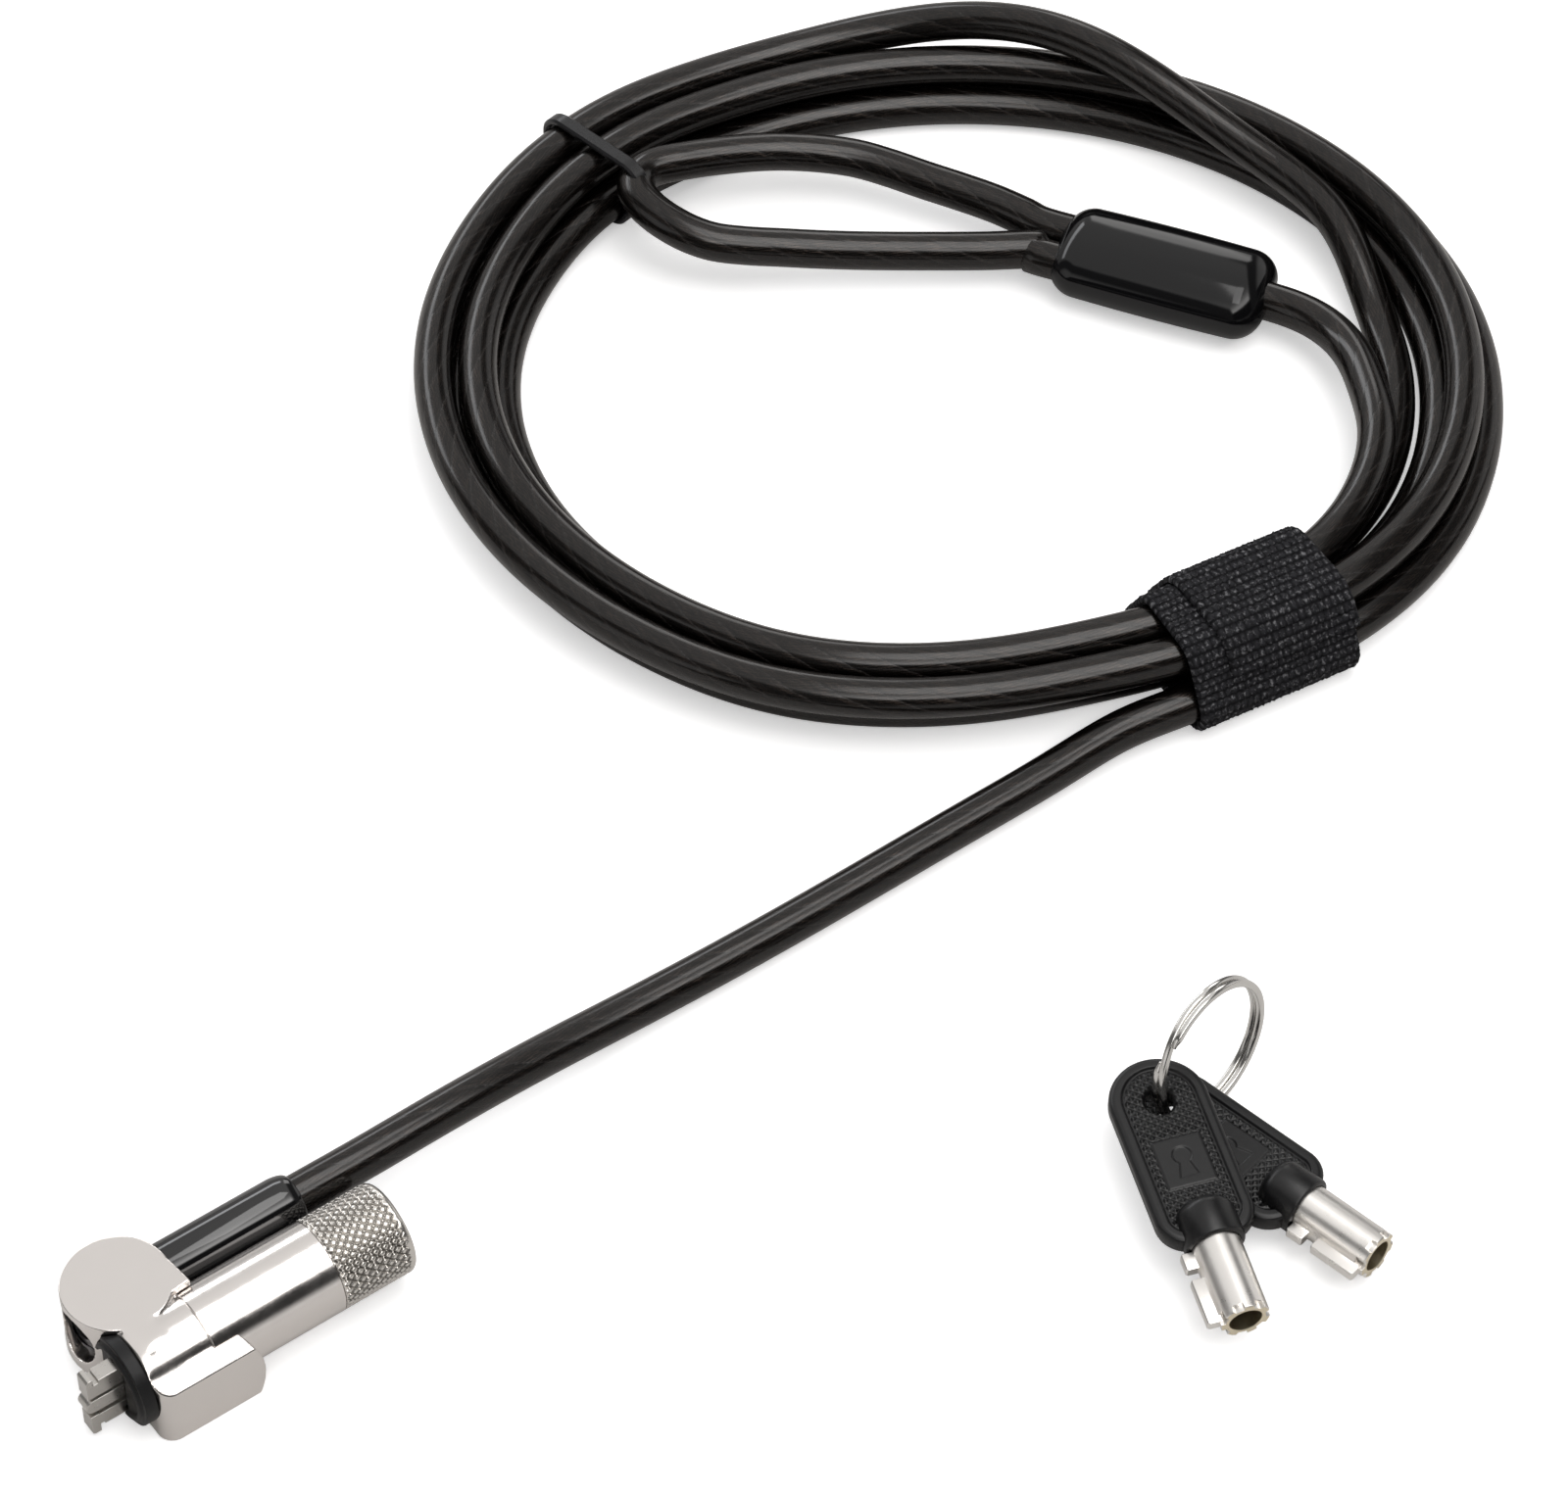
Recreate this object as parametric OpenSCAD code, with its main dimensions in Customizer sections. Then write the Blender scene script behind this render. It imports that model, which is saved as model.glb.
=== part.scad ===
// Cable lock for a laptop: a pivoting lock head on a coiled steel cable with a
// crimped end loop, and two tubular keys on a split ring.
// Frame: X runs along the lock barrel from the locking hooks to the keyway, Z is
// up, and the origin is the middle of the flat foot under the barrel.

/* [Cable] */
// Diameter of the sheathed cable
cable_d = 5.5; // [4.5:0.1:6]
// Distance between neighbouring turns of the coil
turn_pitch = 6.05; // [6:0.05:6.5]
// Half of the coil's long axis, to the middle of its outer turn
coil_a = 71.2; // [60:0.2:80]
// Half of the coil's short axis, to the middle of its outer turn
coil_b = 61.5; // [52:0.5:70]
// Outward sway of the bundle where the strap binds it
strap_sway = 1.5; // [0:0.1:3]
// Sides of a faceted cable tube on its free stretches
tube_sides = 8; // [8:1:12]

/* [Lock barrel] */
// Diameter of the lock barrel
barrel_d = 12.4; // [12:0.1:14]
// Height of the barrel's axis above the foot
barrel_z = 7; // [6.5:0.1:8]
// Length of the smooth part of the barrel
barrel_smooth = 18; // [14:0.5:24]
// Length of the knurled ring
knurl_length = 10.5; // [7:0.5:14]
// Number of knurl grooves
knurl_count = 36; // [24:1:48]
// Depth of a knurl groove
knurl_depth = 0.35; // [0.2:0.05:0.5]
// Wall between the barrel's outside and its bore
barrel_wall = 1.6; // [1.4:0.1:2]

/* [Keyway] */
// Outer diameter of a key's tube
key_tube_d = 6.4; // [6:0.1:7]
// Bore of a key's tube
key_bore_d = 4.2; // [3.6:0.1:4.6]
// Clearance round the key's tube in the keyway, and round the centre post
key_play = 0.1; // [0.05:0.01:0.2]
// Depth of the keyway
keyway_depth = 7.5; // [6:0.5:9]
// Number of pin tumblers
pin_count = 7; // [6:1:8]
// Diameter of a pin tumbler
pin_d = 1.2; // [1:0.1:1.3]

/* [Head casting] */
// Distance from the foot's middle to the front face
front_reach = 6; // [5:0.1:7]
// Distance from the barrel's axis to the flat side wall
side_reach = 7.2; // [6.6:0.1:8]
// Slope of the roof beside the barrel, in degrees
roof_angle = 37; // [30:1:40]
// Radius of the swelling rear end, seen from the side
rear_swell_r = 10.5; // [9.5:0.5:12]
// Width of the foot on the pivot side
foot_inner = 3.2; // [2:0.1:4]
// Height of the flat top plate
plate_top = 13.3; // [13.2:0.1:14]
// Radius of the lobe that holds the pivot
lobe_r = 7; // [6.9:0.1:8]
// Height of the lobe's underside
lobe_bottom = 2.4; // [1:0.1:2.6]
// Diameter of the window through the lobe's front wall
window_d = 7.2; // [5:0.1:7.4]
// Plan radius of the front corner
front_corner_r = 2.2; // [0.5:0.1:3]

/* [Pivot and swivel] */
// Distance from the barrel's axis to the cable's axis
cable_y = 10; // [10:0.1:11]
// Height of the cable's axis in the head
cable_z = 7.8; // [7.5:0.1:8]
// Distance from the foot's middle to the pivot axis, towards the front
pivot_reach = 2; // [1.5:0.1:2.5]
// Radius of the trunnion block
trunnion_r = 5.3; // [5:0.1:5.5]
// Height of the trunnion block
trunnion_h = 7.3; // [7:0.05:7.35]
// Radius of a pivot pin
pivot_pin_r = 1.2; // [0.9:0.05:1.3]
// Radius of the swivel stud
stud_r = 2; // [1.6:0.1:2.1]
// Radius of the swivel stud's head
stud_head_r = 2.9; // [2.4:0.1:3]
// Diameter of the ferrule sleeve
ferrule_d = 7.2; // [6.6:0.1:7.2]
// Length of the ferrule sleeve
ferrule_length = 21.5; // [16:0.5:26]

/* [Locking hooks] */
// Width of the hooks and the blade
hook_w = 2.1; // [1.6:0.1:2.4]
// How far the hooks stand out of the front face
hook_reach = 6.6; // [5:0.1:8]
// How far the blade stands out of the front face
blade_reach = 7; // [5.5:0.1:8]
// Thickness of the blade
blade_t = 2.3; // [1.8:0.1:2.4]
// Radius of the hooks' cross pins
hook_pin_r = 0.9; // [0.7:0.05:1]
// Radius of the rubber pad's disc
pad_r = 6.2; // [5.5:0.1:6.3]
// Thickness of the rubber pad
pad_t = 1.7; // [1:0.1:2.2]

/* [Keys] */
// Width of a key's bow
bow_w = 12.7; // [11.5:0.1:14]
// Length of a key's bow
bow_length = 27.2; // [24:0.2:30]
// Thickness of a key's bow
bow_t = 2.8; // [2.4:0.1:3.2]
// Radius of the bow's corners beside the tube
bow_corner_r = 4; // [2:0.1:5]
// Radius of the ring hole in a bow
ring_hole_r = 1.8; // [1.6:0.05:2]
// Radius of the collar round the tube's root
collar_r = 4; // [3.7:0.1:4.2]
// Length of the tube outside the bow
tube_reach = 11.5; // [9:0.5:13]
// Mean radius of the split ring
ring_r = 9.6; // [8:0.1:10]
// Width of the split ring across its two turns
ring_w = 1.9; // [1.2:0.1:2]
// Thickness of the split ring's wire
ring_t = 1; // [0.8:0.1:1.1]

/* [End loop and strap] */
// Length of the crimp sleeve
crimp_length = 31; // [26:0.5:36]
// Width of the crimp sleeve
crimp_w = 15.5; // [13:0.5:17]
// Thickness of the crimp sleeve
crimp_t = 10; // [9:0.5:11]
// Spacing of the two strands at the crimp sleeve's mouth
crimp_spacing = 5.8; // [5.8:0.1:6.5]
// Width of the strap along the cables
strap_length = 24.5; // [18:0.5:30]
// Thickness of one layer of the strap
strap_t = 1.2; // [0.8:0.1:1.6]
// Width of the tie band
tie_w = 2.2; // [1.5:0.1:3]
// Thickness of the tie band
tie_t = 1; // [0.6:0.1:1.2]

/* [Fits] */
// Radial clearance of a running fit
run_fit = 0.05; // [0.02:0.01:0.09]
// Clearance between parts that pass each other
pass_gap = 0.2; // [0.1:0.05:0.3]

/* [Hidden] */
driver_l = 3.2;
$fn = 64;
tiny = 0.01;
far = 60;

chrome = [0.78, 0.78, 0.8];
rubber = [0.08, 0.08, 0.08];
sheath = [0.06, 0.06, 0.07];
brassy = [0.78, 0.68, 0.5];

// Barrel
barrel_r = barrel_d / 2;
front_x = -front_reach;
seam_x = 3;
knurl_x = seam_x + barrel_smooth;
barrel_end = knurl_x + knurl_length;
knurl_seat_r = barrel_r - 1;
spigot_r = barrel_r - 0.9;
spigot_l = 2;
bore_r = barrel_r - barrel_wall;
keyway_r = key_tube_d / 2 + key_play;
post_r = key_bore_d / 2 - key_play;
keyway_x = barrel_end - keyway_depth;
plug_x = keyway_x - 5.9;
housing_x = seam_x + 7.3;
pin_ring_r = (key_bore_d + key_tube_d) / 4;
shaft_r = 1.6;
shaft_x = seam_x + 0.1;
cam_x = seam_x + 1.2;

// Head
channel_w = hook_w + 0.4;
channel_z0 = barrel_z - 5.5;
channel_z1 = barrel_z + 4.5;
channel_x = 1.3;
pivot_x = -pivot_reach;
lobe_x = pivot_x - 0.3;
lobe_y = cable_y - 1.6;
window_r = window_d / 2;
ferrule_r = ferrule_d / 2;
cavity_r = trunnion_r + pass_gap;
cavity_z0 = cable_z - trunnion_h / 2 - 0.15;
cavity_z1 = cable_z + trunnion_h / 2 + 0.15;
flat_x = pivot_x + 4.4;
ferrule_x = flat_x + 0.1;
ferrule_end = ferrule_x + ferrule_length;
stud_head_x = pivot_x - 1.5;
stud_head_l = 1.6;

// Hooks and blade, as places on the hooks' outlines
hook_x = front_x - hook_reach;
hook_tail_x = front_x + 5.8;
hook_pin_x = front_x + 4;
upper_pin_z = barrel_z + 2.6;
lower_pin_z = barrel_z - 3.8;
blade_x = front_x - blade_reach;
blade_tail_x = front_x + 3.8;
blade_z0 = barrel_z - 1.7;
follower_y = 2.6;
follower_r = 0.6;

// ---- Shared shapes -------------------------------------------------------

// Extrudes a profile drawn in Y and Z along X, from x0 to x1
module along_x(x0, x1) {
    translate([x0, 0, 0])
        rotate([90, 0, 90])
            linear_extrude(x1 - x0)
                children();
}

// Extrudes a profile drawn in X and Z along Y, to both sides of Y = 0
module along_y(width) {
    rotate([90, 0, 0])
        linear_extrude(width, center = true)
            children();
}

// Cylinder along X from x0 to x1 at a place in Y and Z
module rod_x(x0, x1, r, y = 0, z = barrel_z) {
    translate([x0, y, z])
        rotate([0, 90, 0])
            cylinder(r = r, h = x1 - x0);
}

// Places children at each tumbler, round the barrel's axis
module at_tumblers() {
    for (k = [0:pin_count - 1])
        translate([0, 0, barrel_z])
            rotate([k * 360 / pin_count, 0, 0])
                translate([0, 0, pin_ring_r])
                    children();
}

// Rounded rectangle centred on the origin
module rounded_plate(length, width, r) {
    square([length - 2 * r, width], center = true);
    square([length, width - 2 * r], center = true);
    for (x = [-1, 1], y = [-1, 1])
        translate([x * (length / 2 - r), y * (width / 2 - r)])
            circle(r);
}

// ---- Cable routes and tubes ----------------------------------------------

function smooth(a, b, x) = let (t = min(1, max(0, (x - a) / (b - a)))) t * t * (3 - 2 * t);
function unit(v) = v / norm(v);

// The coil is an oval whose long axis is turned in plan. An angle of 0 lies under
// the strap. Two turns lie on the floor and two nest on top of them. All four step
// inward by one pitch before the strap, which leaves room for the incoming cable.
// Past the strap the tail leaves on the inside, and then the innermost strand
// climbs over the top one to the outside.
coil_centre = [177.2, 74.6];
coil_turn = -36;
strap_angle = -58;
tie_angle = 198;
turns = 4;
floor_z = cable_d / 2;
strap_lift = strap_t + 0.15;
tie_lift = tie_t + 0.15;
step_from = 300;
step_to = 345;
climb_from = 68;
climb_to = 96;
hop_to = 172;
hop_rise = 0.5;
tail_angle = 48;
tail_roll = 56;
roll_from = 6;
roll_to = 56;
drift_from = 38;
drift_to = 70;
drift_in = 6;
drift_down = 2.5;

function around(q, at) = min(abs(q - at), 360 - abs(q - at));
function lift(q) = strap_lift * (1 - smooth(8, 35, around(q, 0)))
    + tie_lift * (1 - smooth(4, 22, around(q, tie_angle)));
function sway(q) = strap_sway * (1 - smooth(10, 60, around(q, 0)));

// Inward offset and height of the turn k at the angle q within the turn. Turn 2
// climbs beside turn 3 and hops over it. The last one, the tail, rolls inward.
function on_circle(centre, angle, r = turn_pitch) = centre + r * [cos(angle), sin(angle)];
top_place = on_circle([turn_pitch, 0], 120);
function climb_place(q) =
    let (hop = 180 * smooth(climb_to, hop_to, q))
    q < climb_to ? on_circle([turn_pitch, 0], 60 * smooth(climb_from, climb_to, q)) :
    on_circle(top_place, hop, turn_pitch + hop_rise * sin(hop));
function tail_place(q) =
    let (rolled = tail_roll * smooth(roll_from, roll_to, q), gone = smooth(drift_from, drift_to, q))
    on_circle([2 * turn_pitch, 0], 120 - rolled, turn_pitch + 0.15 * sin(rolled))
        + gone * [drift_in, -drift_down];
function place(k, q) =
    let (p = turn_pitch, step = [p * smooth(step_from, step_to, q), 0])
    k == 0 ? step :
    k == 1 ? [p, 0] + step :
    k == 2 ? climb_place(q) + step :
    k == 3 ? top_place + step : tail_place(q);

// A point of the coil, from an angle q on the oval, an inward offset and a height
function oval(q, inward, z) =
    let (t = strap_angle + q, n = unit([coil_b * cos(t), coil_a * sin(t)]),
        x = coil_a * cos(t) - inward * n[0], y = coil_b * sin(t) - inward * n[1])
    [coil_centre[0] + x * cos(coil_turn) - y * sin(coil_turn),
        coil_centre[1] + x * sin(coil_turn) + y * cos(coil_turn), z];
function coil_point(angle) =
    let (k = min(turns, floor(angle / 360)), q = angle - 360 * k, iz = place(k, q))
    oval(q, iz[0] - sway(q), floor_z + lift(q) + iz[1]);

rings_per_turn = 60;
coil_steps = turns * rings_per_turn + tail_angle * rings_per_turn / 360;
coil_inner = [for (k = [0:coil_steps]) coil_point(k * 360 / rings_per_turn)];
entry_dir = unit(coil_point(2) - coil_point(0));
leave_dir = unit(coil_inner[coil_steps] - coil_inner[coil_steps - 1]);
coil_start = coil_inner[0] - cable_d * entry_dir;
coil_end = coil_inner[coil_steps] + cable_d * leave_dir;
coil_path = concat([coil_start], coil_inner, [coil_end]);

// Least gap between two turns, from the distances of the rings' centres
half_turn = rings_per_turn / 2;
function near_self(i) = min([for (j = [i + half_turn:len(coil_path) - 1])
    norm(coil_path[i] - coil_path[j])]);
echo(coil_gap = min([for (i = [0:len(coil_path) - half_turn - 2]) near_self(i)]) - cable_d);

// Free stretches: points chosen by hand, joined by a smooth curve
straight_points = [[12, 10, 7.8], [24, 10, 7.8], [34, 10, 7.7], [48, 10.8, 6.8], [62, 11.9, 4.8],
    [76, 12.3, 3.2], [90, 12.1, 2.8], [106, 12, 2.75], [126, 12.2, 2.75], [143, 12.2, 2.9],
    [156, 12.4, 3.5]];
tail_points = [[222.6, 53, 5.6]];
eye_points = [[200, 87.6, 5.1], [193.5, 91.6, 5.3], [186, 96.6, 5.6], [177.5, 102.2, 6.2],
    [169.4, 107.8, 7], [161.8, 113.4, 8], [158.3, 118.8, 9], [157.2, 124.4, 9.6],
    [158.6, 128.3, 9.7], [162, 129.5, 9.6], [166.4, 128.4, 9.3], [173, 126, 8.7],
    [180.4, 122.3, 8], [188.1, 116, 7.2], [193.9, 107.6, 6.3], [199.6, 98.4, 5.6]];

// Crimp sleeve: its middle, and its turn in plan from the loop's end to the tail's
crimp_centre = [210.8, 73.9, crimp_t / 2];
crimp_turn = -56.5;
function crimp_point(along, across) = crimp_centre
    + [along * cos(crimp_turn) - across * sin(crimp_turn),
        along * sin(crimp_turn) + across * cos(crimp_turn), 0];
crimp_depth = 8;
mouth_l = -crimp_length / 2;

// A smooth curve through a list of points, with n rings for each stretch
function curve_at(p, i, t) =
    let (a = p[max(0, i - 1)], b = p[i], c = p[i + 1], d = p[min(len(p) - 1, i + 2)])
    0.5 * (2 * b + (c - a) * t + (2 * a - 5 * b + 4 * c - d) * t * t
        + (3 * b - a - 3 * c + d) * t * t * t);
function curve(p, n) = concat([for (i = [0:len(p) - 2], k = [0:n - 1]) curve_at(p, i, k / n)],
    [p[len(p) - 1]]);

function heading(path, i) = let (n = len(path) - 1)
    i == 0 ? unit(path[1] - path[0]) :
    i == n ? unit(path[n] - path[n - 1]) :
    unit(unit(path[i + 1] - path[i]) + unit(path[i] - path[i - 1]));
function ring_of(path, i, r, sides) =
    let (t = heading(path, i), s = unit([-t[1], t[0], 0]), u = cross(t, s))
    [for (k = [0:sides - 1]) path[i] + r * (sin(360 * (k + 0.5) / sides) * s
        + cos(360 * (k + 0.5) / sides) * u)];

// One unbroken tube along a path
module tube(path, sides) {
    n = len(path);
    points = [for (i = [0:n - 1]) each ring_of(path, i, cable_d / 2, sides)];
    first = [for (k = [0:sides - 1]) k];
    last = [for (k = [0:sides - 1]) n * sides - 1 - k];
    walls = [for (i = [0:n - 2], k = [0:sides - 1])
        let (a = i * sides + k, b = i * sides + (k + 1) % sides)
        each [[a, b + sides, b], [a, a + sides, b + sides]]];
    polyhedron(points, concat([first], walls, [last]));
}

straight_path = concat(curve(straight_points, 1),
    [coil_start - 9 * entry_dir, coil_start - 4 * entry_dir, coil_start]);
tail_path = concat([coil_end], curve(concat([coil_end + 5 * leave_dir], tail_points,
    [crimp_point(-mouth_l + 4, 0)]), 2), [crimp_point(-mouth_l - crimp_depth + 1, 0)]);
eye_path = concat([crimp_point(mouth_l + crimp_depth - 1, -crimp_spacing / 2)],
    curve(concat([crimp_point(mouth_l - 3, -crimp_spacing / 2)], eye_points,
        [crimp_point(mouth_l - 3, crimp_spacing / 2)]), 2),
    [crimp_point(mouth_l + crimp_depth - 1, crimp_spacing / 2)]);

module cable_straight() {
    color(sheath)
        tube(straight_path, tube_sides);
}

module cable_coil() {
    color(sheath)
        tube(coil_path, 6);
}

module cable_tail() {
    color(sheath)
        tube(tail_path, tube_sides);
}

module cable_eye() {
    color(sheath)
        tube(eye_path, tube_sides);
}

// ---- Pieces on the cable -------------------------------------------------

// Oval sleeve with a bore for the tail and two bores for the loop
module crimp_sleeve() {
    bore = cable_d / 2 + 0.08;
    color([0.05, 0.05, 0.05])
        translate(crimp_centre)
            rotate([0, 0, crimp_turn])
                difference() {
                    crimp_body();
                    translate([crimp_length / 2 - crimp_depth, 0, 0])
                        rotate([0, 90, 0])
                            cylinder(r = bore, h = crimp_depth + 1);
                    for (side = [-1, 1])
                        translate([mouth_l - 1, side * crimp_spacing / 2, 0])
                            rotate([0, 90, 0])
                                cylinder(r = bore, h = crimp_depth + 1);
                }
}

// The sleeve's oval: nested slabs, the longer ones thinner, round off its ends
module crimp_body() {
    edge = 2;
    steps = 4;
    for (k = [0:steps])
        crimp_oval(crimp_length - 2 * edge * (1 - k / steps), edge * (1 - sqrt(1 - pow(k / (steps + 0.6), 2))));
}

module crimp_oval(length, inset) {
    r = crimp_t / 2 - inset;
    translate([-length / 2, 0, 0])
        rotate([90, 0, 90])
            linear_extrude(length)
                union() {
                    square([crimp_w - crimp_t, 2 * r], center = true);
                    for (side = [-1, 1])
                        translate([side * (crimp_w - crimp_t) / 2, 0])
                            circle(r);
                }
}

// Hook and loop strap: a band round the five strands, with its overlap on top
strap_heading = atan2(coil_b * cos(strap_angle), -coil_a * sin(strap_angle));
strap_bow = 1.1;
module hook_loop_strap() {
    centre = oval(0, -strap_sway, 0);
    r = cable_d / 2 + 0.15;
    color([0.1, 0.1, 0.11])
        translate(centre)
            rotate([90, 0, 90 + coil_turn + strap_heading])
                translate([0, 0, -strap_length / 2])
                    linear_extrude(strap_length)
                        union() {
                            difference() {
                                strap_outline(r + strap_t);
                                strap_outline(r);
                            }
                            intersection() {
                                difference() {
                                    strap_outline(r + 1.9 * strap_t);
                                    strap_outline(r + strap_t - tiny);
                                }
                                translate([-0.5 * turn_pitch, floor_z + turn_pitch])
                                    square([2.1 * turn_pitch, far]);
                            }
                        }
}

// The outline of the strands under the strap, swollen to a radius
module strap_outline(r) {
    low = floor_z + strap_lift;
    high = low + turn_pitch * sin(60);
    hull() {
        translate([0, low])
            circle(r, $fn = 32);
        translate([2 * turn_pitch + strap_bow, low])
            circle(r, $fn = 32);
        translate([turn_pitch / 2, high])
            circle(r, $fn = 32);
        translate([1.5 * turn_pitch + strap_bow, high])
            circle(r, $fn = 32);
    }
}

// Tie band round the coil and the end of the eye loop
tie_loop_in = 9.3;
tie_loop_z = 9.6;
module tie_band() {
    tie_heading = atan2(coil_b * cos(strap_angle + tie_angle), -coil_a * sin(strap_angle + tie_angle));
    r = cable_d / 2 + 0.15;
    color([0.04, 0.04, 0.04])
        translate(oval(tie_angle, 0, 0))
            rotate([90, 0, 90 + coil_turn + tie_heading])
                translate([0, 0, -tie_w / 2])
                    linear_extrude(tie_w)
                        difference() {
                            tie_outline(r + tie_t);
                            tie_outline(r);
                        }
}

// The outline of the four turns and the loop's end, swollen to a radius
module tie_outline(r) {
    low = floor_z + tie_lift;
    hull() {
        translate([-turn_pitch / 2, low + turn_pitch * sin(60)])
            circle(r, $fn = 24);
        for (x = [0, turn_pitch])
            translate([x, low])
                circle(r, $fn = 24);
        translate([tie_loop_in, tie_loop_z])
            circle(r, $fn = 24);
    }
}

// Glossy sleeve over the cable's end, bored for the cable and for the swivel stud
module ferrule_sleeve() {
    rim = 1.5;
    color([0.03, 0.03, 0.03])
        translate([ferrule_x, cable_y, cable_z])
            rotate([0, 90, 0])
                rotate_extrude()
                    difference() {
                        union() {
                            square([ferrule_r, ferrule_length - rim]);
                            square([ferrule_r - rim, ferrule_length]);
                            translate([ferrule_r - rim, ferrule_length - rim])
                                intersection() {
                                    circle(rim);
                                    square(rim);
                                }
                        }
                        square([stud_r, 5.5]);
                        translate([0, 7.4])
                            square([cable_d / 2 + 0.05, far]);
                    }
}

// Stud that lets the head spin about the cable, pressed into the ferrule
module swivel_stud() {
    color(chrome)
        union() {
            rod_x(stud_head_x, ferrule_x + 5.5, stud_r, cable_y, cable_z);
            rod_x(stud_head_x - stud_head_l, stud_head_x, stud_head_r, cable_y, cable_z);
        }
}

// Upright drum between the lobe's two plates, crossed by the stud's stepped bore
module trunnion_block() {
    color([0.2, 0.2, 0.21])
        difference() {
            translate([pivot_x, cable_y, cable_z - trunnion_h / 2])
                cylinder(r = trunnion_r, h = trunnion_h);
            translate([flat_x, cable_y - far / 2, 0])
                cube([far, far, far]);
            rod_x(-far, far, stud_r + run_fit, cable_y, cable_z);
            rod_x(-far, stud_head_x + run_fit, stud_head_r + 0.1, cable_y, cable_z);
            translate([pivot_x, cable_y, -far / 2])
                pivot_bores(pivot_pin_r + run_fit);
        }
}

// The two pivot pins' places, above and below the stud's bore
pin_bite = 1.2;
module pivot_bores(r) {
    translate([0, 0, far / 2 + cable_z + trunnion_h / 2 - pin_bite])
        cylinder(r = r, h = far);
    translate([0, 0, cable_z - trunnion_h / 2 + pin_bite + far / 2 - far])
        cylinder(r = r, h = far);
}

module pivot_pins() {
    top = cable_z + trunnion_h / 2 - pin_bite + run_fit;
    bottom = cable_z - trunnion_h / 2 + pin_bite - run_fit;
    color(chrome)
        translate([pivot_x, cable_y, 0])
            union() {
                translate([0, 0, top])
                    cylinder(r = pivot_pin_r, h = cavity_z1 + 1.1 - top);
                translate([0, 0, lobe_bottom])
                    cylinder(r = pivot_pin_r, h = bottom - lobe_bottom);
            }
}

// ---- Head ----------------------------------------------------------------

// Cross-section of the block under and beside the barrel
module block_profile() {
    sink = barrel_r - 0.12;
    touch = [-sink * sin(roof_angle), barrel_z + sink * cos(roof_angle)];
    edge_z = touch[1] - (side_reach + touch[0]) * tan(roof_angle);
    polygon([[-side_reach, 0], [-side_reach, edge_z], touch, [0, barrel_z],
        [foot_inner, barrel_z], [foot_inner, 0]]);
    translate([0, barrel_z])
        circle(barrel_r);
}

// The block with its swelling rear end and its rounded front corner
module block() {
    rear_x = rear_swell_r - 2;
    intersection() {
        along_x(front_x, rear_x + 1)
            block_profile();
        translate([-2, 0, 4.5])
            rotate([90, 0, 0])
                cylinder(r = rear_swell_r, h = far, center = true, $fn = 96);
        linear_extrude(far)
            union() {
                translate([front_x + front_corner_r, -side_reach])
                    square([far, far]);
                translate([front_x, -side_reach + front_corner_r])
                    square([far, far]);
                translate([front_x + front_corner_r, -side_reach + front_corner_r])
                    circle(front_corner_r);
            }
    }
}

// Outline of the flat top plate over the lobe, seen from above
module plate_outline() {
    translate([lobe_x, lobe_y])
        circle(lobe_r, $fn = 96);
    polygon([[pivot_x, 2.8], [5.2, 3.6], [4.8, 7.3], [3.9, 11.2], [1.6, 14], [pivot_x, lobe_y]]);
    polygon([[front_x + 1.3, -2.6], [-1.4, -1.8], [-1.4, 3.4], [front_x + 0.2, 3.4],
        [front_x + 0.5, 1.7], [front_x + 1.2, -0.2]]);
}

module head_casting() {
    color(chrome)
        difference() {
            union() {
                block();
                translate([0, 0, cavity_z1])
                    linear_extrude(plate_top - cavity_z1)
                        plate_outline();
                translate([lobe_x, lobe_y, lobe_bottom])
                    cylinder(r = lobe_r, h = plate_top - lobe_bottom - tiny, $fn = 96);
            }
            head_hollows();
            head_bores();
        }
}

// Room for the pivoting ferrule and trunnion, and for the barrel behind the seam
module head_hollows() {
    translate([0, 0, cavity_z0])
        linear_extrude(cavity_z1 - cavity_z0)
            union() {
                translate([pivot_x, cable_y])
                    circle(cavity_r);
                translate([pivot_x - ferrule_r - pass_gap, cable_y])
                    square(far);
                translate([pivot_x, barrel_r + tiny])
                    square(far);
            }
    rod_x(seam_x, far, barrel_r + pass_gap / 2);
    translate([front_x - 1, -channel_w / 2, channel_z0])
        cube([channel_x - front_x + 1, channel_w, channel_z1 - channel_z0]);
    translate([blade_tail_x - 0.8, 0, barrel_z - 0.7])
        cube([seam_x - blade_tail_x + 1, follower_y + follower_r + 0.1, 1.4]);
    translate([lobe_x - far, cable_y, cable_z])
        rotate([0, 90, 0])
            cylinder(r = window_r, h = far - 4);
}

module head_bores() {
    rod_x(seam_x - spigot_l, far, spigot_r);
    for (z = [upper_pin_z, lower_pin_z])
        translate([hook_pin_x, 0, z])
            rotate([90, 0, 0])
                cylinder(r = hook_pin_r, h = 6.6, center = true);
    translate([pivot_x, cable_y, lobe_bottom - 1])
        cylinder(r = pivot_pin_r, h = cavity_z1 + 1.1 - lobe_bottom + 1);
}

// Rubber pad on the front face, with a raised bead round the hooks
module front_pad() {
    color(rubber)
        difference() {
            union() {
                rod_x(front_x - pad_t, front_x, pad_r);
                translate([front_x - pad_t, 0, barrel_z])
                    rotate([0, 90, 0])
                        rotate_extrude()
                            translate([pad_r - 1.2, 0])
                                circle(0.5);
            }
            translate([lobe_x, lobe_y, 0])
                cylinder(r = lobe_r + pass_gap / 2, h = far, $fn = 96);
            translate([front_x - 5, -channel_w / 2, channel_z0])
                cube([10, channel_w, channel_z1 - channel_z0]);
        }
}

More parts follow.
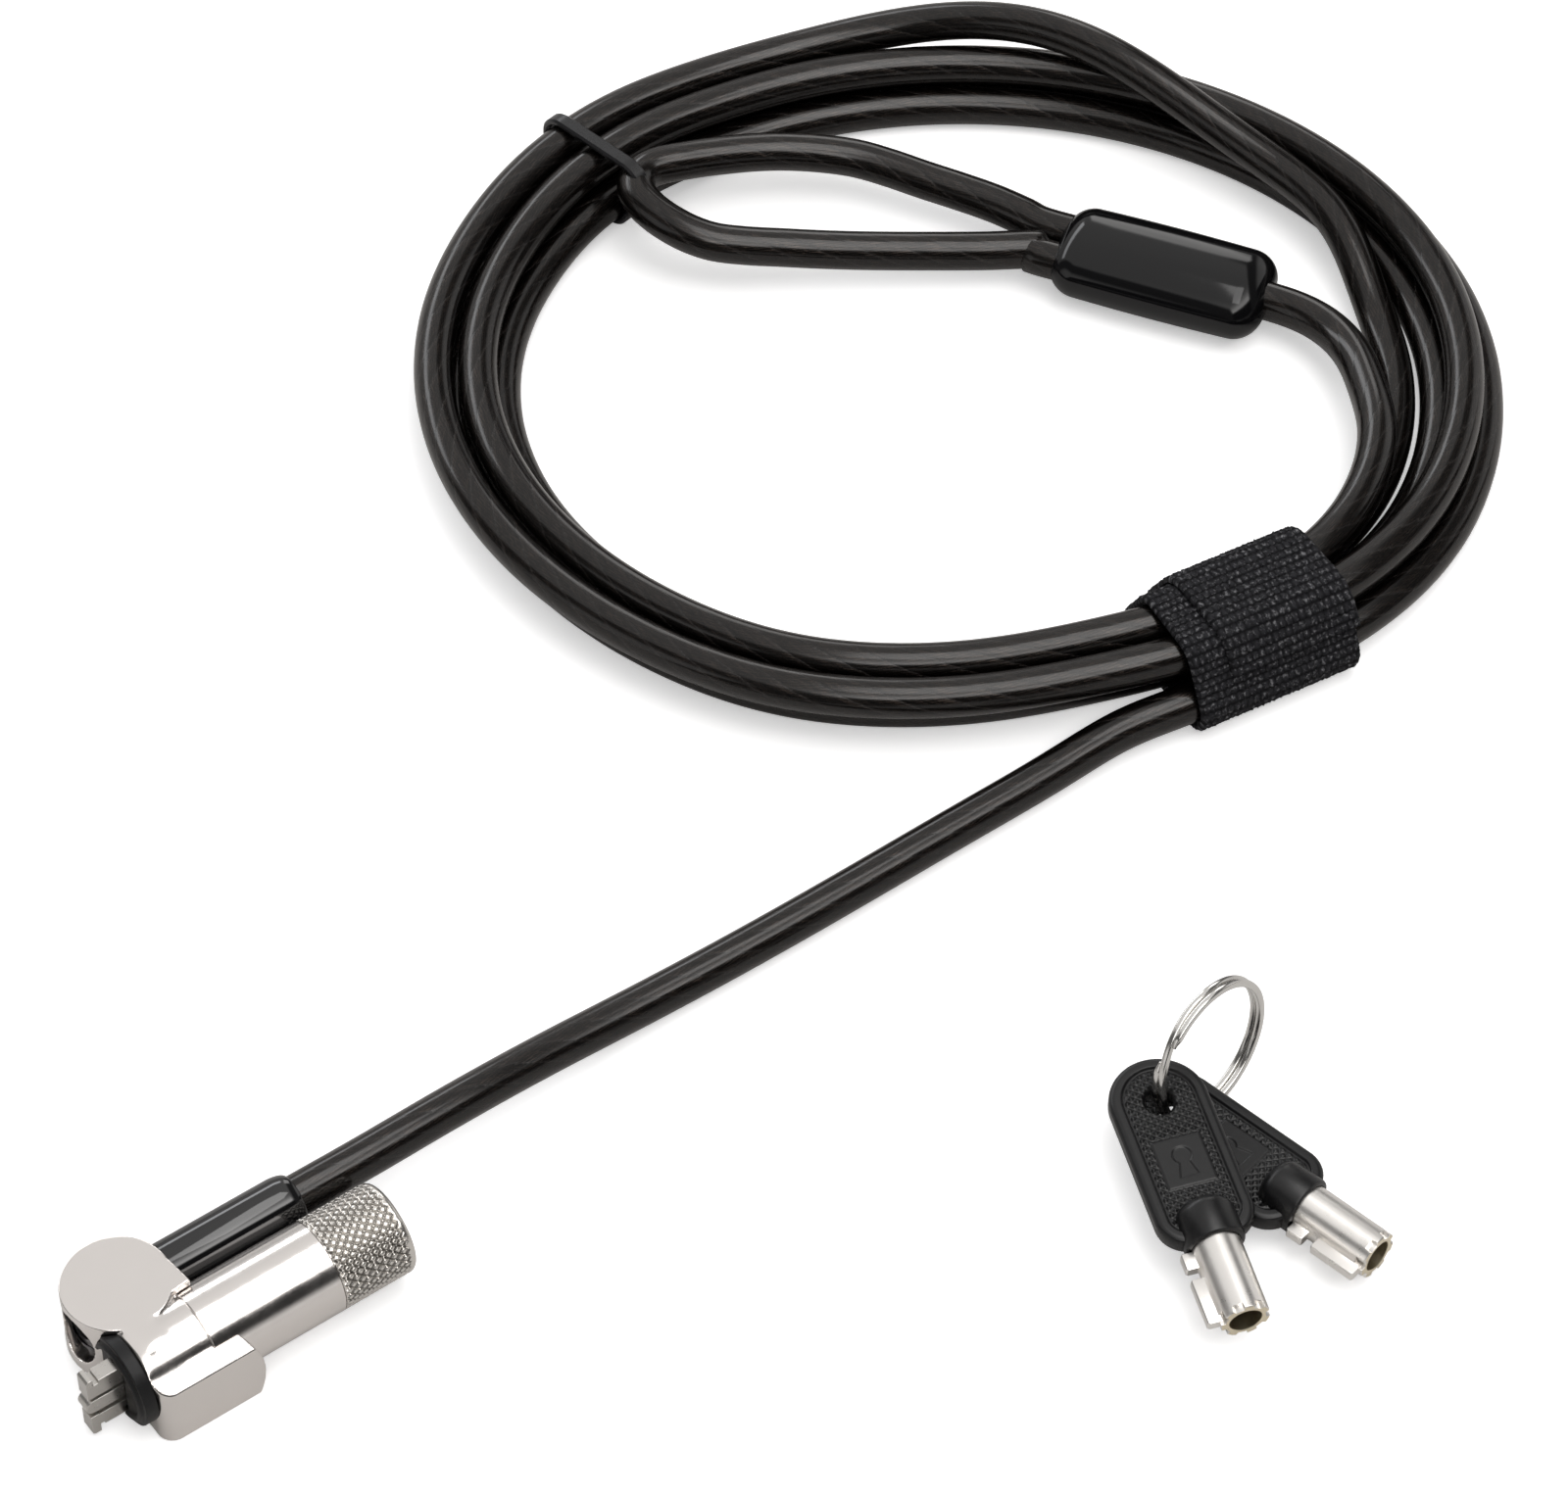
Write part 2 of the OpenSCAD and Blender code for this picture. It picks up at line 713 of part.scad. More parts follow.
module upper_hook() {
    low = barrel_z + 1.25;
    top = barrel_z + 4.2;
    head_top = top + 0.6;
    color(chrome)
        difference() {
            along_y(hook_w)
                polygon([[hook_x, head_top - 0.3], [hook_x + 0.3, head_top],
                    [hook_x + 0.93, head_top], [hook_x + 0.93, top - 0.6], [hook_x + 1.7, top - 0.6],
                    [hook_x + 1.7, top], [hook_tail_x - 0.8, top], [hook_tail_x, top - 0.6],
                    [hook_tail_x, low], [hook_x, low]]);
            translate([hook_pin_x, 0, upper_pin_z])
                rotate([90, 0, 0])
                    cylinder(r = hook_pin_r + run_fit, h = far, center = true);
        }
}

module lower_hook() {
    top = barrel_z - 2.6;
    low = barrel_z - 5;
    color(chrome)
        difference() {
            along_y(hook_w)
                polygon([[hook_x, low - 0.7], [hook_x + 0.3, low - 1], [hook_x + 1.2, low - 1],
                    [hook_x + 1.2, low + 0.4], [hook_x + 1.8, low + 0.4], [hook_x + 1.8, low],
                    [hook_tail_x - 0.8, low], [hook_tail_x, low + 0.6], [hook_tail_x, top],
                    [hook_x + 1.2, top], [hook_x + 1.2, top + 0.1], [hook_x, top + 0.1]]);
            translate([hook_pin_x, 0, lower_pin_z])
                rotate([90, 0, 0])
                    cylinder(r = hook_pin_r + run_fit, h = far, center = true);
        }
}

module hook_pins() {
    color(chrome)
        for (z = [upper_pin_z, lower_pin_z])
            translate([hook_pin_x, 0, z])
                rotate([90, 0, 0])
                    cylinder(r = hook_pin_r, h = 6.6, center = true);
}

// Blade that fills the gap between the hooks, with the follower that draws it back
module slide_blade() {
    follower_tip = cam_x + 0.8;
    color(chrome)
        union() {
            along_y(hook_w)
                union() {
                    translate([blade_x + blade_t / 2, blade_z0 + blade_t / 2])
                        circle(blade_t / 2);
                    translate([blade_x + blade_t / 2, blade_z0])
                        square([blade_tail_x - blade_x - blade_t / 2, blade_t]);
                }
            translate([blade_tail_x - 0.6, 0, barrel_z - 0.5])
                cube([0.6, follower_y, 1]);
            rod_x(blade_tail_x - 0.6, follower_tip, follower_r - 0.1, follower_y);
        }
}

// ---- Barrel and key mechanism --------------------------------------------

module lock_barrel() {
    color(chrome)
        difference() {
            union() {
                rod_x(seam_x, knurl_x, barrel_r);
                rod_x(seam_x - spigot_l, seam_x + 1, spigot_r);
                rod_x(knurl_x - 1, barrel_end - 0.3, knurl_seat_r);
            }
            rod_x(seam_x - spigot_l - 1, keyway_x, bore_r);
            rod_x(keyway_x - 1, far, keyway_r);
        }
}

// Knurled ring: its outline is a toothed circle, and a bevel takes off its rear edge
module knurled_ring() {
    edge = 0.9;
    teeth = [for (k = [0:2 * knurl_count - 1])
        let (a = 180 * k / knurl_count, r = barrel_r - (k % 2) * knurl_depth)
        [r * cos(a), r * sin(a)]];
    color(chrome)
        difference() {
            along_x(knurl_x, barrel_end)
                translate([0, barrel_z])
                    polygon(teeth);
            rod_x(0, far, knurl_seat_r);
            translate([barrel_end, 0, barrel_z])
                rotate([0, 90, 0])
                    rotate_extrude()
                        polygon([[barrel_r - edge, tiny], [barrel_r + 1, -1 - edge],
                            [barrel_r + 1, tiny]]);
        }
}

// Fixed housing of the driver pins, pressed into the barrel
module pin_housing() {
    color(brassy)
        difference() {
            rod_x(housing_x, plug_x - 0.1, bore_r);
            rod_x(0, far, shaft_r + run_fit);
            at_tumblers()
                rod_x(housing_x + 1, far, pin_d / 2, z = 0);
        }
}

// Turning core: a plug with the key pins' holes, the keyway's post and a shaft
module lock_core() {
    groove_r = shaft_r - 0.4;
    color(chrome)
        difference() {
            union() {
                rod_x(shaft_x, plug_x + 1, shaft_r);
                rod_x(plug_x, keyway_x - 0.1, bore_r - run_fit);
                rod_x(keyway_x - 1, barrel_end - 0.5, post_r);
            }
            at_tumblers()
                rod_x(0, keyway_x + 1, pin_d / 2, z = 0);
            translate([shaft_x + 0.3, 0, barrel_z])
                rotate([0, 90, 0])
                    rotate_extrude()
                        translate([groove_r, 0])
                            square([1, 0.6]);
        }
}

// Cam on the core's shaft, with the quarter-turn pocket that the follower runs in
module drive_cam() {
    cam_end = housing_x - 0.2;
    pocket_out = follower_y + follower_r + 0.1;
    pocket_in = follower_y - follower_r - 0.1;
    color(brassy)
        difference() {
            rod_x(cam_x, cam_end, bore_r - 0.2);
            rod_x(0, far, shaft_r);
            translate([0, 0, barrel_z])
                rotate([0, 90, 0])
                    rotate_extrude(angle = 150, start = -30)
                        translate([pocket_in, cam_x - 1])
                            square([pocket_out - pocket_in, cam_end - cam_x + 2]);
        }
}

// Snap ring in the shaft's groove, in front of the cam
module retaining_clip() {
    clip_in = shaft_r - 0.4;
    color([0.3, 0.3, 0.32])
        difference() {
            rod_x(shaft_x + 0.35, shaft_x + 0.85, shaft_r + 0.35);
            rod_x(0, far, clip_in);
            translate([0, -clip_in * 0.8, barrel_z])
                cube([far, clip_in * 1.6, far]);
        }
}

module driver_pins() {
    color(chrome)
        at_tumblers()
            rod_x(plug_x - driver_l, plug_x - 0.1, pin_d / 2, z = 0);
}

module key_pins() {
    color(brassy)
        at_tumblers()
            rod_x(plug_x, keyway_x, pin_d / 2, z = 0);
}

module pin_springs() {
    color(chrome)
        at_tumblers()
            difference() {
                rod_x(housing_x + 1, plug_x - driver_l, pin_d / 2 - 0.05, z = 0);
                rod_x(0, far, pin_d / 2 - 0.3, z = 0);
            }
}

// ---- Keys and split ring -------------------------------------------------

// Each key lies along its own X, from the ring hole to the tube's tip
ring_lean = 7;
ring_turn = 12;
ring_centre = [127.95, -39.67, (ring_r + ring_t / 2) * cos(ring_lean) + ring_w / 2 * sin(ring_lean)];
hole_a = [118.4, -41.9, 8.5];
turn_a = -109;
tilt_a = 4;
hole_b = [121.02, -41.88, 4.3];
turn_b = -77.7;

module at_key(hole, turn, tilt) {
    translate(hole)
        rotate([0, tilt, turn])
            children();
}

tube_root = bow_length - bow_w / 2;
module key_bow() {
    collar_l = 6.2;
    difference() {
        union() {
            translate([0, 0, -bow_t / 2])
                linear_extrude(bow_t)
                    bow_outline(0);
            translate([tube_root - collar_l, 0, 0])
                rotate([0, 90, 0])
                    cylinder(r1 = collar_r - 0.8, r2 = collar_r, h = collar_l + 0.6);
        }
        for (side = [-1, 1])
            translate([0, 0, side * bow_t / 2 - 0.3])
                linear_extrude(0.6)
                    difference() {
                        bow_outline(1.6);
                        translate([tube_root, 0])
                            square([2 * collar_l + 1.2, 2 * collar_r], center = true);
                        circle(ring_hole_r + 1);
                    }
        cylinder(r = ring_hole_r, h = far, center = true);
        for (side = [0, 180])
            rotate([side, 0, 0])
                translate([0, 0, bow_t / 2 - 0.5])
                    cylinder(r1 = ring_hole_r, r2 = ring_hole_r + 0.5, h = 0.5 + tiny);
        rotate([0, 90, 0])
            translate([0, 0, tube_root - collar_l + 1])
                cylinder(r = key_tube_d / 2, h = far);
    }
}

// Bow outline: a round end about the ring hole and rounded corners at the tube
module bow_outline(inset) {
    r = bow_w / 2 - inset;
    c = bow_corner_r - inset;
    end = tube_root - inset;
    circle(r);
    translate([0, -r])
        square([end - c, 2 * r]);
    translate([0, -r + c])
        square([end, 2 * (r - c)]);
    for (side = [-1, 1])
        translate([end - c, side * (r - c)])
            circle(c);
}

// Hollow tube with its end slot, its side notches and a lug in two parts
module key_tube() {
    root = tube_root - 5.2;
    tip = tube_root + tube_reach;
    r = key_tube_d / 2;
    difference() {
        union() {
            rotate([0, 90, 0])
                translate([0, 0, root])
                    cylinder(r = r, h = tip - root);
            for (span = [[tube_root + 0.8, tube_root + 3.2], [tube_root + 4.6, tip - 0.4]])
                translate([span[0], -r - 1.6, -0.7])
                    cube([span[1] - span[0], 2, 1.4]);
        }
        rotate([0, 90, 0])
            translate([0, 0, tip - keyway_depth])
                cylinder(r = key_bore_d / 2, h = far);
        for (k = [0:pin_count - 1])
            rotate([20 + k * 360 / pin_count, 0, 0])
                translate([tip - 0.8 - 0.5 * (k % 3), 0, pin_ring_r + 0.25])
                    rotate([0, 90, 0])
                        cylinder(r = 0.75, h = far);
    }
}

module key_a_bow() {
    color(rubber)
        at_key(hole_a, turn_a, tilt_a)
            key_bow();
}

module key_a_tube() {
    color(brassy)
        at_key(hole_a, turn_a, tilt_a)
            key_tube();
}

module key_b_bow() {
    color(rubber)
        at_key(hole_b, turn_b, 0)
            key_bow();
}

module key_b_tube() {
    color(brassy)
        at_key(hole_b, turn_b, 0)
            key_tube();
}

// Split ring: two flat turns side by side, parted by a fine groove
module split_ring() {
    groove = 0.12;
    color(chrome)
        translate(ring_centre)
            rotate([90 - ring_lean, 0, ring_turn])
                rotate_extrude($fn = 96)
                    difference() {
                        translate([ring_r - ring_t / 2, -ring_w / 2])
                            square([ring_t, ring_w]);
                        for (r = [ring_r - ring_t / 2, ring_r + ring_t / 2])
                            translate([r, 0])
                                square([0.5, groove], center = true);
                    }
}

head_casting();
front_pad();
upper_hook();
lower_hook();
hook_pins();
slide_blade();
lock_barrel();
knurled_ring();
pin_housing();
lock_core();
drive_cam();
retaining_clip();
driver_pins();
key_pins();
pin_springs();
pivot_pins();
trunnion_block();
swivel_stud();
ferrule_sleeve();
cable_straight();
cable_coil();
cable_tail();
cable_eye();
crimp_sleeve();
hook_loop_strap();
tie_band();
split_ring();
key_a_bow();
key_a_tube();
key_b_bow();
key_b_tube();
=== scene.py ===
"""Looks of a laptop cable lock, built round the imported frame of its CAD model.

In the row frame X runs along the lock barrel from the hooks to the keyway, Y towards
the cable's side of the head, and Z is up. Meshes, finishes and the studio are in
metres. The pieces' own sizes are in millimetres, and MM turns them into metres.
"""

import logging
import math
from contextlib import contextmanager
from dataclasses import dataclass, field
from enum import Enum
from typing import Callable, Iterator, Sequence

import bmesh
import bpy
import numpy as np
from mathutils import Matrix, Vector

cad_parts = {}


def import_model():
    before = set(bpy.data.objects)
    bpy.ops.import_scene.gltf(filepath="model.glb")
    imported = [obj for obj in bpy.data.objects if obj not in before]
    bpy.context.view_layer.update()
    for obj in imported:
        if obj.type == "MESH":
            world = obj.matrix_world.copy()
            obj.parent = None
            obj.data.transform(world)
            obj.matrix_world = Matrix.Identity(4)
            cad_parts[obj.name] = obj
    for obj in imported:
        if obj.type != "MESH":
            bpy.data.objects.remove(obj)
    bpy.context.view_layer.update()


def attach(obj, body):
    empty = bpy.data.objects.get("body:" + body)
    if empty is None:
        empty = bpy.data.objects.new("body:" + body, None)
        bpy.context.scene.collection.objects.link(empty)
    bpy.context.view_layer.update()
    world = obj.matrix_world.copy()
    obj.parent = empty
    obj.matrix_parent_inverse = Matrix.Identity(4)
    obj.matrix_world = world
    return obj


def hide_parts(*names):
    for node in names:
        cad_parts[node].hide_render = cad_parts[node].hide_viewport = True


LOG = logging.getLogger("scene")
MM = 0.001
TAU = 2 * math.pi
Array = np.ndarray
Colour = tuple[float, float, float]
Point = tuple[float, float, float]
Ramp = tuple[float, float, float, float]
Socket = bpy.types.NodeSocket

CABLE_D = 5.5 * MM
CABLE_Y = 10 * MM
CABLE_Z = 7.8 * MM
BARREL_Z = 7 * MM
BARREL_R = 6.2 * MM


# ---- Numbers -------------------------------------------------------------


def smooth(start: float, end: float, x: float) -> float:
    """A step from 0 to 1 between start and end, with level ends."""
    t = min(1.0, max(0.0, (x - start) / (end - start)))
    return t * t * (3 - 2 * t)


def smooth_array(start: float, end: float, x: Array) -> Array:
    """The step of smooth(), for every value of an array."""
    t = np.clip((x - start) / (end - start), 0, 1)
    return t * t * (3 - 2 * t)


def unit(v: Array) -> Array:
    """A vector of length 1 along v."""
    return v / np.linalg.norm(v)


def spline(points: Sequence[Sequence[float]], steps: int) -> list[Array]:
    """A smooth curve through points.

    Args:
        points: The points it passes through, in order.
        steps: How many stretches it makes between two of them.

    Returns:
        The curve's points, with the first and the last one as given.
    """
    p = [np.array(x, float) for x in points]
    out = []
    for i in range(len(p) - 1):
        a, b, c, d = p[max(0, i - 1)], p[i], p[i + 1], p[min(len(p) - 1, i + 2)]
        for k in range(steps):
            t = k / steps
            out.append(
                0.5
                * (
                    2 * b
                    + (c - a) * t
                    + (2 * a - 5 * b + 4 * c - d) * t * t
                    + (3 * b - a - 3 * c + d) * t**3
                )
            )
    out.append(p[-1])
    return out


def distances(path: Array) -> Array:
    """How far along a line each of its points lies."""
    return np.concatenate([[0], np.cumsum(np.linalg.norm(np.diff(path, axis=0), axis=1))])


def boxed(value: float, power: float) -> float:
    """A sine or cosine moved towards -1 or 1, for an oval that is more like a box."""
    return math.copysign(abs(value) ** power, value)


def resample(points: Sequence[Array], spacing: float) -> Array:
    """Points at even distances along a polyline, after rounding its corners.

    Args:
        points: The polyline's points.
        spacing: The distance between the new points.

    Returns:
        The new points, one to a row.
    """
    path = np.array(spline(points, 6))
    along = distances(path)
    count = max(2, int(round(along[-1] / spacing)) + 1)
    at = np.linspace(0, along[-1], count)
    return np.stack([np.interp(at, along, path[:, i]) for i in range(3)], axis=1)


# ---- Meshes --------------------------------------------------------------


class Shade(Enum):
    """How a mesh's faces are shaded."""

    SMOOTH = "smooth"
    FLAT = "flat"
    BY_ANGLE = "by_angle"


@contextmanager
def edited(mesh: bpy.types.Mesh) -> Iterator[bmesh.types.BMesh]:
    """A mesh opened for editing, which is written back at the end.

    Args:
        mesh: The mesh to edit.

    Returns:
        The opened mesh, for the length of a with block.
    """
    work = bmesh.new()
    work.from_mesh(mesh)
    yield work
    work.to_mesh(mesh)
    work.free()


def link(obj: bpy.types.Object) -> bpy.types.Object:
    """Puts an object in the scene."""
    bpy.context.scene.collection.objects.link(obj)
    return obj


def new_object(
    name: str,
    verts: Array | Sequence[Sequence[float]],
    faces: Sequence[Sequence[int]],
    shade: Shade = Shade.SMOOTH,
) -> bpy.types.Object:
    """A mesh object in the scene.

    Args:
        name: Its name.
        verts: Its points.
        faces: Its faces, as indices into verts.
        shade: How its faces are shaded.

    Returns:
        The new object.
    """
    mesh = bpy.data.meshes.new(name)
    mesh.from_pydata([tuple(map(float, v)) for v in verts], [], [tuple(f) for f in faces])
    mesh.validate()
    with edited(mesh) as work:
        bmesh.ops.recalc_face_normals(work, faces=work.faces)
    obj = link(bpy.data.objects.new(name, mesh))
    set_shade(obj, shade)
    return obj


def set_shade(obj: bpy.types.Object, shade: Shade, angle: float = 35.0) -> None:
    """Shades an object's faces smooth, flat, or smooth up to an angle in degrees.

    Args:
        obj: The object.
        shade: How its faces are shaded.
        angle: The bend beyond which an edge is sharp, with BY_ANGLE.
    """
    mesh = obj.data
    mesh.polygons.foreach_set("use_smooth", [shade is not Shade.FLAT] * len(mesh.polygons))
    if shade is Shade.BY_ANGLE:
        sharpen(mesh, angle)
    mesh.update()


def sharpen(mesh: bpy.types.Mesh, angle: float) -> None:
    """Marks the edges that bend by more than an angle in degrees as sharp.

    Args:
        mesh: The mesh.
        angle: The bend beyond which an edge is sharp.
    """
    limit = math.radians(angle)
    with edited(mesh) as work:
        for edge in work.edges:
            if len(edge.link_faces) == 2 and edge.calc_face_angle(0) > limit:
                edge.smooth = False


def grid_faces(rows: int, columns: int, wrap: bool) -> list[tuple[int, ...]]:
    """Quads between rows of points, the last column joined to the first if wrap is true.

    Args:
        rows: How many rows there are.
        columns: How many points a row has.
        wrap: Whether the last column joins the first.

    Returns:
        The faces, as indices into the points, row by row.
    """
    faces = []
    for i in range(rows - 1):
        for j in range(columns if wrap else columns - 1):
            a, b = i * columns + j, i * columns + (j + 1) % columns
            faces.append((a, a + columns, b + columns, b))
    return faces


def band_faces(rows: int, columns: int, wrap: bool) -> list[tuple[int, ...]]:
    """The grid's quads and those that close its last row to its first.

    Args:
        rows: How many rows there are.
        columns: How many points a row has.
        wrap: Whether the last column joins the first.

    Returns:
        The faces, as indices into the points, row by row.
    """
    last = (rows - 1) * columns
    return grid_faces(rows, columns, wrap) + [
        (j, (j + 1) % columns, last + (j + 1) % columns, last + j)
        for j in range(columns if wrap else columns - 1)
    ]


def ring_points(x: Array | float, radius: Array | float, angle: Array) -> Array:
    """Points round the X axis, from their place along it, their radius and their angle.

    Args:
        x: Their places along the axis.
        radius: Their distances from it.
        angle: Their turns round it, in radians.

    Returns:
        The points, with x, y and z along the last axis.
    """
    return np.stack(
        np.broadcast_arrays(x, radius * np.cos(angle), radius * np.sin(angle)), axis=-1
    )


def loft(
    name: str, rings: Array, capped: bool = True, shade: Shade = Shade.SMOOTH
) -> bpy.types.Object:
    """A skin over closed rings of points.

    Args:
        name: The object's name.
        rings: Points, as rings by points by 3.
        capped: Whether the two end rings are filled.
        shade: How its faces are shaded.

    Returns:
        The new object.
    """
    rows, columns, _ = rings.shape
    faces = grid_faces(rows, columns, True)
    if capped:
        faces.append(tuple(range(columns)))
        faces.append(tuple(range((rows - 1) * columns, rows * columns))[::-1])
    return new_object(name, rings.reshape(-1, 3), faces, shade)


def turned(
    name: str,
    profile: Sequence[tuple[float, float]],
    sides: int = 96,
    closed: bool = False,
    shade: Shade = Shade.BY_ANGLE,
) -> bpy.types.Object:
    """A solid of revolution about X.

    Args:
        name: The object's name.
        profile: Pairs of place along X and radius, from one end to the other.
        sides: How many faces it has round the axis.
        closed: Whether the profile's last point joins its first, as on a ring.
        shade: How its faces are shaded.

    Returns:
        The new object, with its axis on the X axis.
    """
    angles = np.arange(sides) * TAU / sides
    points = list(profile) + ([profile[0]] if closed else [])
    obj = loft(name, np.array([ring_points(x, r, angles) for x, r in points]), not closed)
    with edited(obj.data) as work:
        bmesh.ops.remove_doubles(work, verts=work.verts, dist=1e-7)
        bmesh.ops.recalc_face_normals(work, faces=work.faces)
    set_shade(obj, shade)
    return obj


def place(obj: bpy.types.Object, matrix: Matrix) -> bpy.types.Object:
    """Moves an object's points by a matrix, so that its own place stays at the origin.

    Args:
        obj: The object.
        matrix: What its points are moved by.

    Returns:
        The same object.
    """
    obj.data.transform(matrix)
    obj.data.update()
    return obj


def joined(name: str, objects: Sequence[bpy.types.Object]) -> bpy.types.Object:
    """One object from several, which are removed.

    Args:
        name: The new object's name.
        objects: The objects to join.

    Returns:
        The new object, with the materials of them all.
    """
    work = bmesh.new()
    materials: list[bpy.types.Material] = []
    for obj in objects:
        lookup = []
        for material in obj.data.materials:
            if material not in materials:
                materials.append(material)
            lookup.append(materials.index(material))
        first = len(work.faces)
        work.from_mesh(obj.data)
        work.faces.ensure_lookup_table()
        for face in work.faces[first:]:
            face.material_index = lookup[face.material_index] if lookup else 0
    mesh = bpy.data.meshes.new(name)
    work.to_mesh(mesh)
    work.free()
    for material in materials:
        mesh.materials.append(material)
    for obj in objects:
        bpy.data.objects.remove(obj)
    return link(bpy.data.objects.new(name, mesh))


def applied(obj: bpy.types.Object) -> bpy.types.Object:
    """Bakes an object's modifiers into its mesh.

    Args:
        obj: The object.

    Returns:
        The same object.
    """
    graph = bpy.context.evaluated_depsgraph_get()
    mesh = bpy.data.meshes.new_from_object(obj.evaluated_get(graph))
    obj.modifiers.clear()
    obj.data = mesh
    return obj


def rounded_copy(
    node: str, name: str, voxel: float, passes: int, prepare: Callable | None = None
) -> bpy.types.Object:
    """A copy of a CAD node with every edge softly rounded, as on a polished casting.

    Args:
        node: The CAD node.
        name: The copy's name.
        voxel: The size of the grid that it is rebuilt on.
        passes: How often the surface is smoothed.
        prepare: What changes the copy before it is rebuilt.

    Returns:
        The new object.
    """
    obj = link(bpy.data.objects.new(name, bpy.data.objects[node].data.copy()))
    if prepare:
        obj = prepare(obj)
    remesh = obj.modifiers.new("rebuild", "REMESH")
    remesh.mode = "VOXEL"
    remesh.voxel_size = voxel
    remesh.use_smooth_shade = True
    relax = obj.modifiers.new("relax", "SMOOTH")
    relax.factor = 0.5
    relax.iterations = passes
    applied(obj)
    obj.data.materials.clear()
    return obj


def melt(obj: bpy.types.Object, centre: Sequence[float], reach: float, passes: int) -> None:
    """Lets a part of a casting's surface flow together, as in a generous fillet.

    Args:
        obj: The object to change.
        centre: The middle of the part, in millimetres.
        reach: How far it reaches, in millimetres.
        passes: How often it is smoothed.
    """
    co = np.empty(len(obj.data.vertices) * 3)
    obj.data.vertices.foreach_get("co", co)
    gap = np.linalg.norm(co.reshape(-1, 3) / MM - np.array(centre), axis=1)
    weight = np.clip((1 - gap / reach) * 2, 0, 1)
    group = obj.vertex_groups.new(name="melt")
    for i in np.flatnonzero(weight):
        group.add([int(i)], float(weight[i]), "REPLACE")
    relax = obj.modifiers.new("melt", "SMOOTH")
    relax.vertex_group, relax.factor, relax.iterations = group.name, 0.5, passes
    applied(obj)


# ---- Materials -----------------------------------------------------------


@dataclass
class Nodes:
    """Short ways to build one node tree."""

    tree: bpy.types.NodeTree

    def add(self, kind: str, **values: object) -> bpy.types.Node:
        """A node of a kind, with some of its attributes set.

        Args:
            kind: The node's type.
            values: Its attributes.

        Returns:
            The new node.
        """
        node = self.tree.nodes.new(kind)
        for key, value in values.items():
            setattr(node, key, value)
        return node

    def put(self, target: Socket, value: object) -> None:
        """Links a socket to another one, or sets its constant.

        Args:
            target: The input socket.
            value: A socket or a constant. Three numbers can also set a colour.
        """
        if isinstance(value, Socket):
            self.tree.links.new(value, target)
        elif isinstance(value, tuple) and len(value) == 3 and len(target.default_value) == 4:
            target.default_value = (*value, 1.0)
        else:
            target.default_value = value

    def fill(self, node: bpy.types.Node, values: dict[str, object]) -> bpy.types.Node:
        """Links or sets some of a node's inputs, by their names.

        Args:
            node: The node.
            values: Sockets or constants, by the inputs' names.

        Returns:
            The same node.
        """
        for name, value in values.items():
            self.put(node.inputs[name], value)
        return node

    def first(self, node: bpy.types.Node, *values: object) -> Socket:
        """A node's first output, after its first inputs are linked or set in order.

        Args:
            node: The node.
            values: Sockets or constants, in the inputs' order.

        Returns:
            The output.
        """
        for socket, value in zip(node.inputs, values):
            self.put(socket, value)
        return node.outputs[0]

    def made(self, kind: str, **values: object) -> Socket:
        """The first output of a new node, with some of its inputs linked or set."""
        return self.fill(self.add(kind), values).outputs[0]

    def group(self, group: "Group", values: dict[str, object]) -> bpy.types.Node:
        """A shared effect's node."""
        node = self.add("ShaderNodeGroup", node_tree=bpy.data.node_groups[group.value])
        return self.fill(node, values)

    def math(self, operation: str, *values: object, clamp: bool = False) -> Socket:
        """A math node's result."""
        return self.first(self.add("ShaderNodeMath", operation=operation, use_clamp=clamp), *values)

    def vector(self, operation: str, *values: object) -> Socket:
        """A vector math node's first result."""
        return self.first(self.add("ShaderNodeVectorMath", operation=operation), *values)

    def split(self, vector: object) -> Sequence[Socket]:
        """A vector's three parts.

        Args:
            vector: The vector's socket.

        Returns:
            The sockets of x, y and z.
        """
        node = self.add("ShaderNodeSeparateXYZ")
        self.put(node.inputs[0], vector)
        return node.outputs[:]

    def noise(
        self, vector: object, scale: object, detail: float = 3.0, roughness: float = 0.5
    ) -> Socket:
        """A noise texture's value."""
        values = {"Vector": vector, "Scale": scale, "Detail": detail, "Roughness": roughness}
        return self.fill(self.add("ShaderNodeTexNoise"), values).outputs["Fac"]

    def span(self, value: object, low: float, high: float, to_low: float, to_high: float) -> Socket:
        """A value moved from one range to another, held inside it."""
        return self.first(self.add("ShaderNodeMapRange"), value, low, high, to_low, to_high)

    def half_round(self, turns: object) -> Socket:
        """The height of round wires that lie side by side, one to a turn.

        Args:
            turns: A socket that counts the wires.

        Returns:
            The height, 0 between two wires and 1 on a wire's crown.
        """
        across = self.math("MULTIPLY_ADD", self.math("FRACT", turns), 2.0, -1.0)
        square = self.math("MULTIPLY", across, across)
        return self.math("SQRT", self.math("SUBTRACT", 1.0, square))

    def mix(self, factor: object, a: object, b: object) -> Socket:
        """A mix of two colours.

        Args:
            factor: 0 for the first colour and 1 for the second.
            a: The first colour.
            b: The second colour.

        Returns:
            The mixed colour.
        """
        node = self.add("ShaderNodeMix", data_type="RGBA")
        self.put(node.inputs["Factor"], factor)
        self.put(node.inputs[6], a)
        self.put(node.inputs[7], b)
        return node.outputs[2]

    def bump(self, height: object, distance: object) -> Socket:
        """A bump node's normal, for a height between 0 and 1 and a distance in metres."""
        return self.made("ShaderNodeBump", Strength=1.0, Distance=distance, Height=height)


class Group(Enum):
    """The shared effects, each one node group."""

    WEAR = "soft_wear"
    STRANDS = "twisted_strands"
    WEAVE = "ribbed_weave"


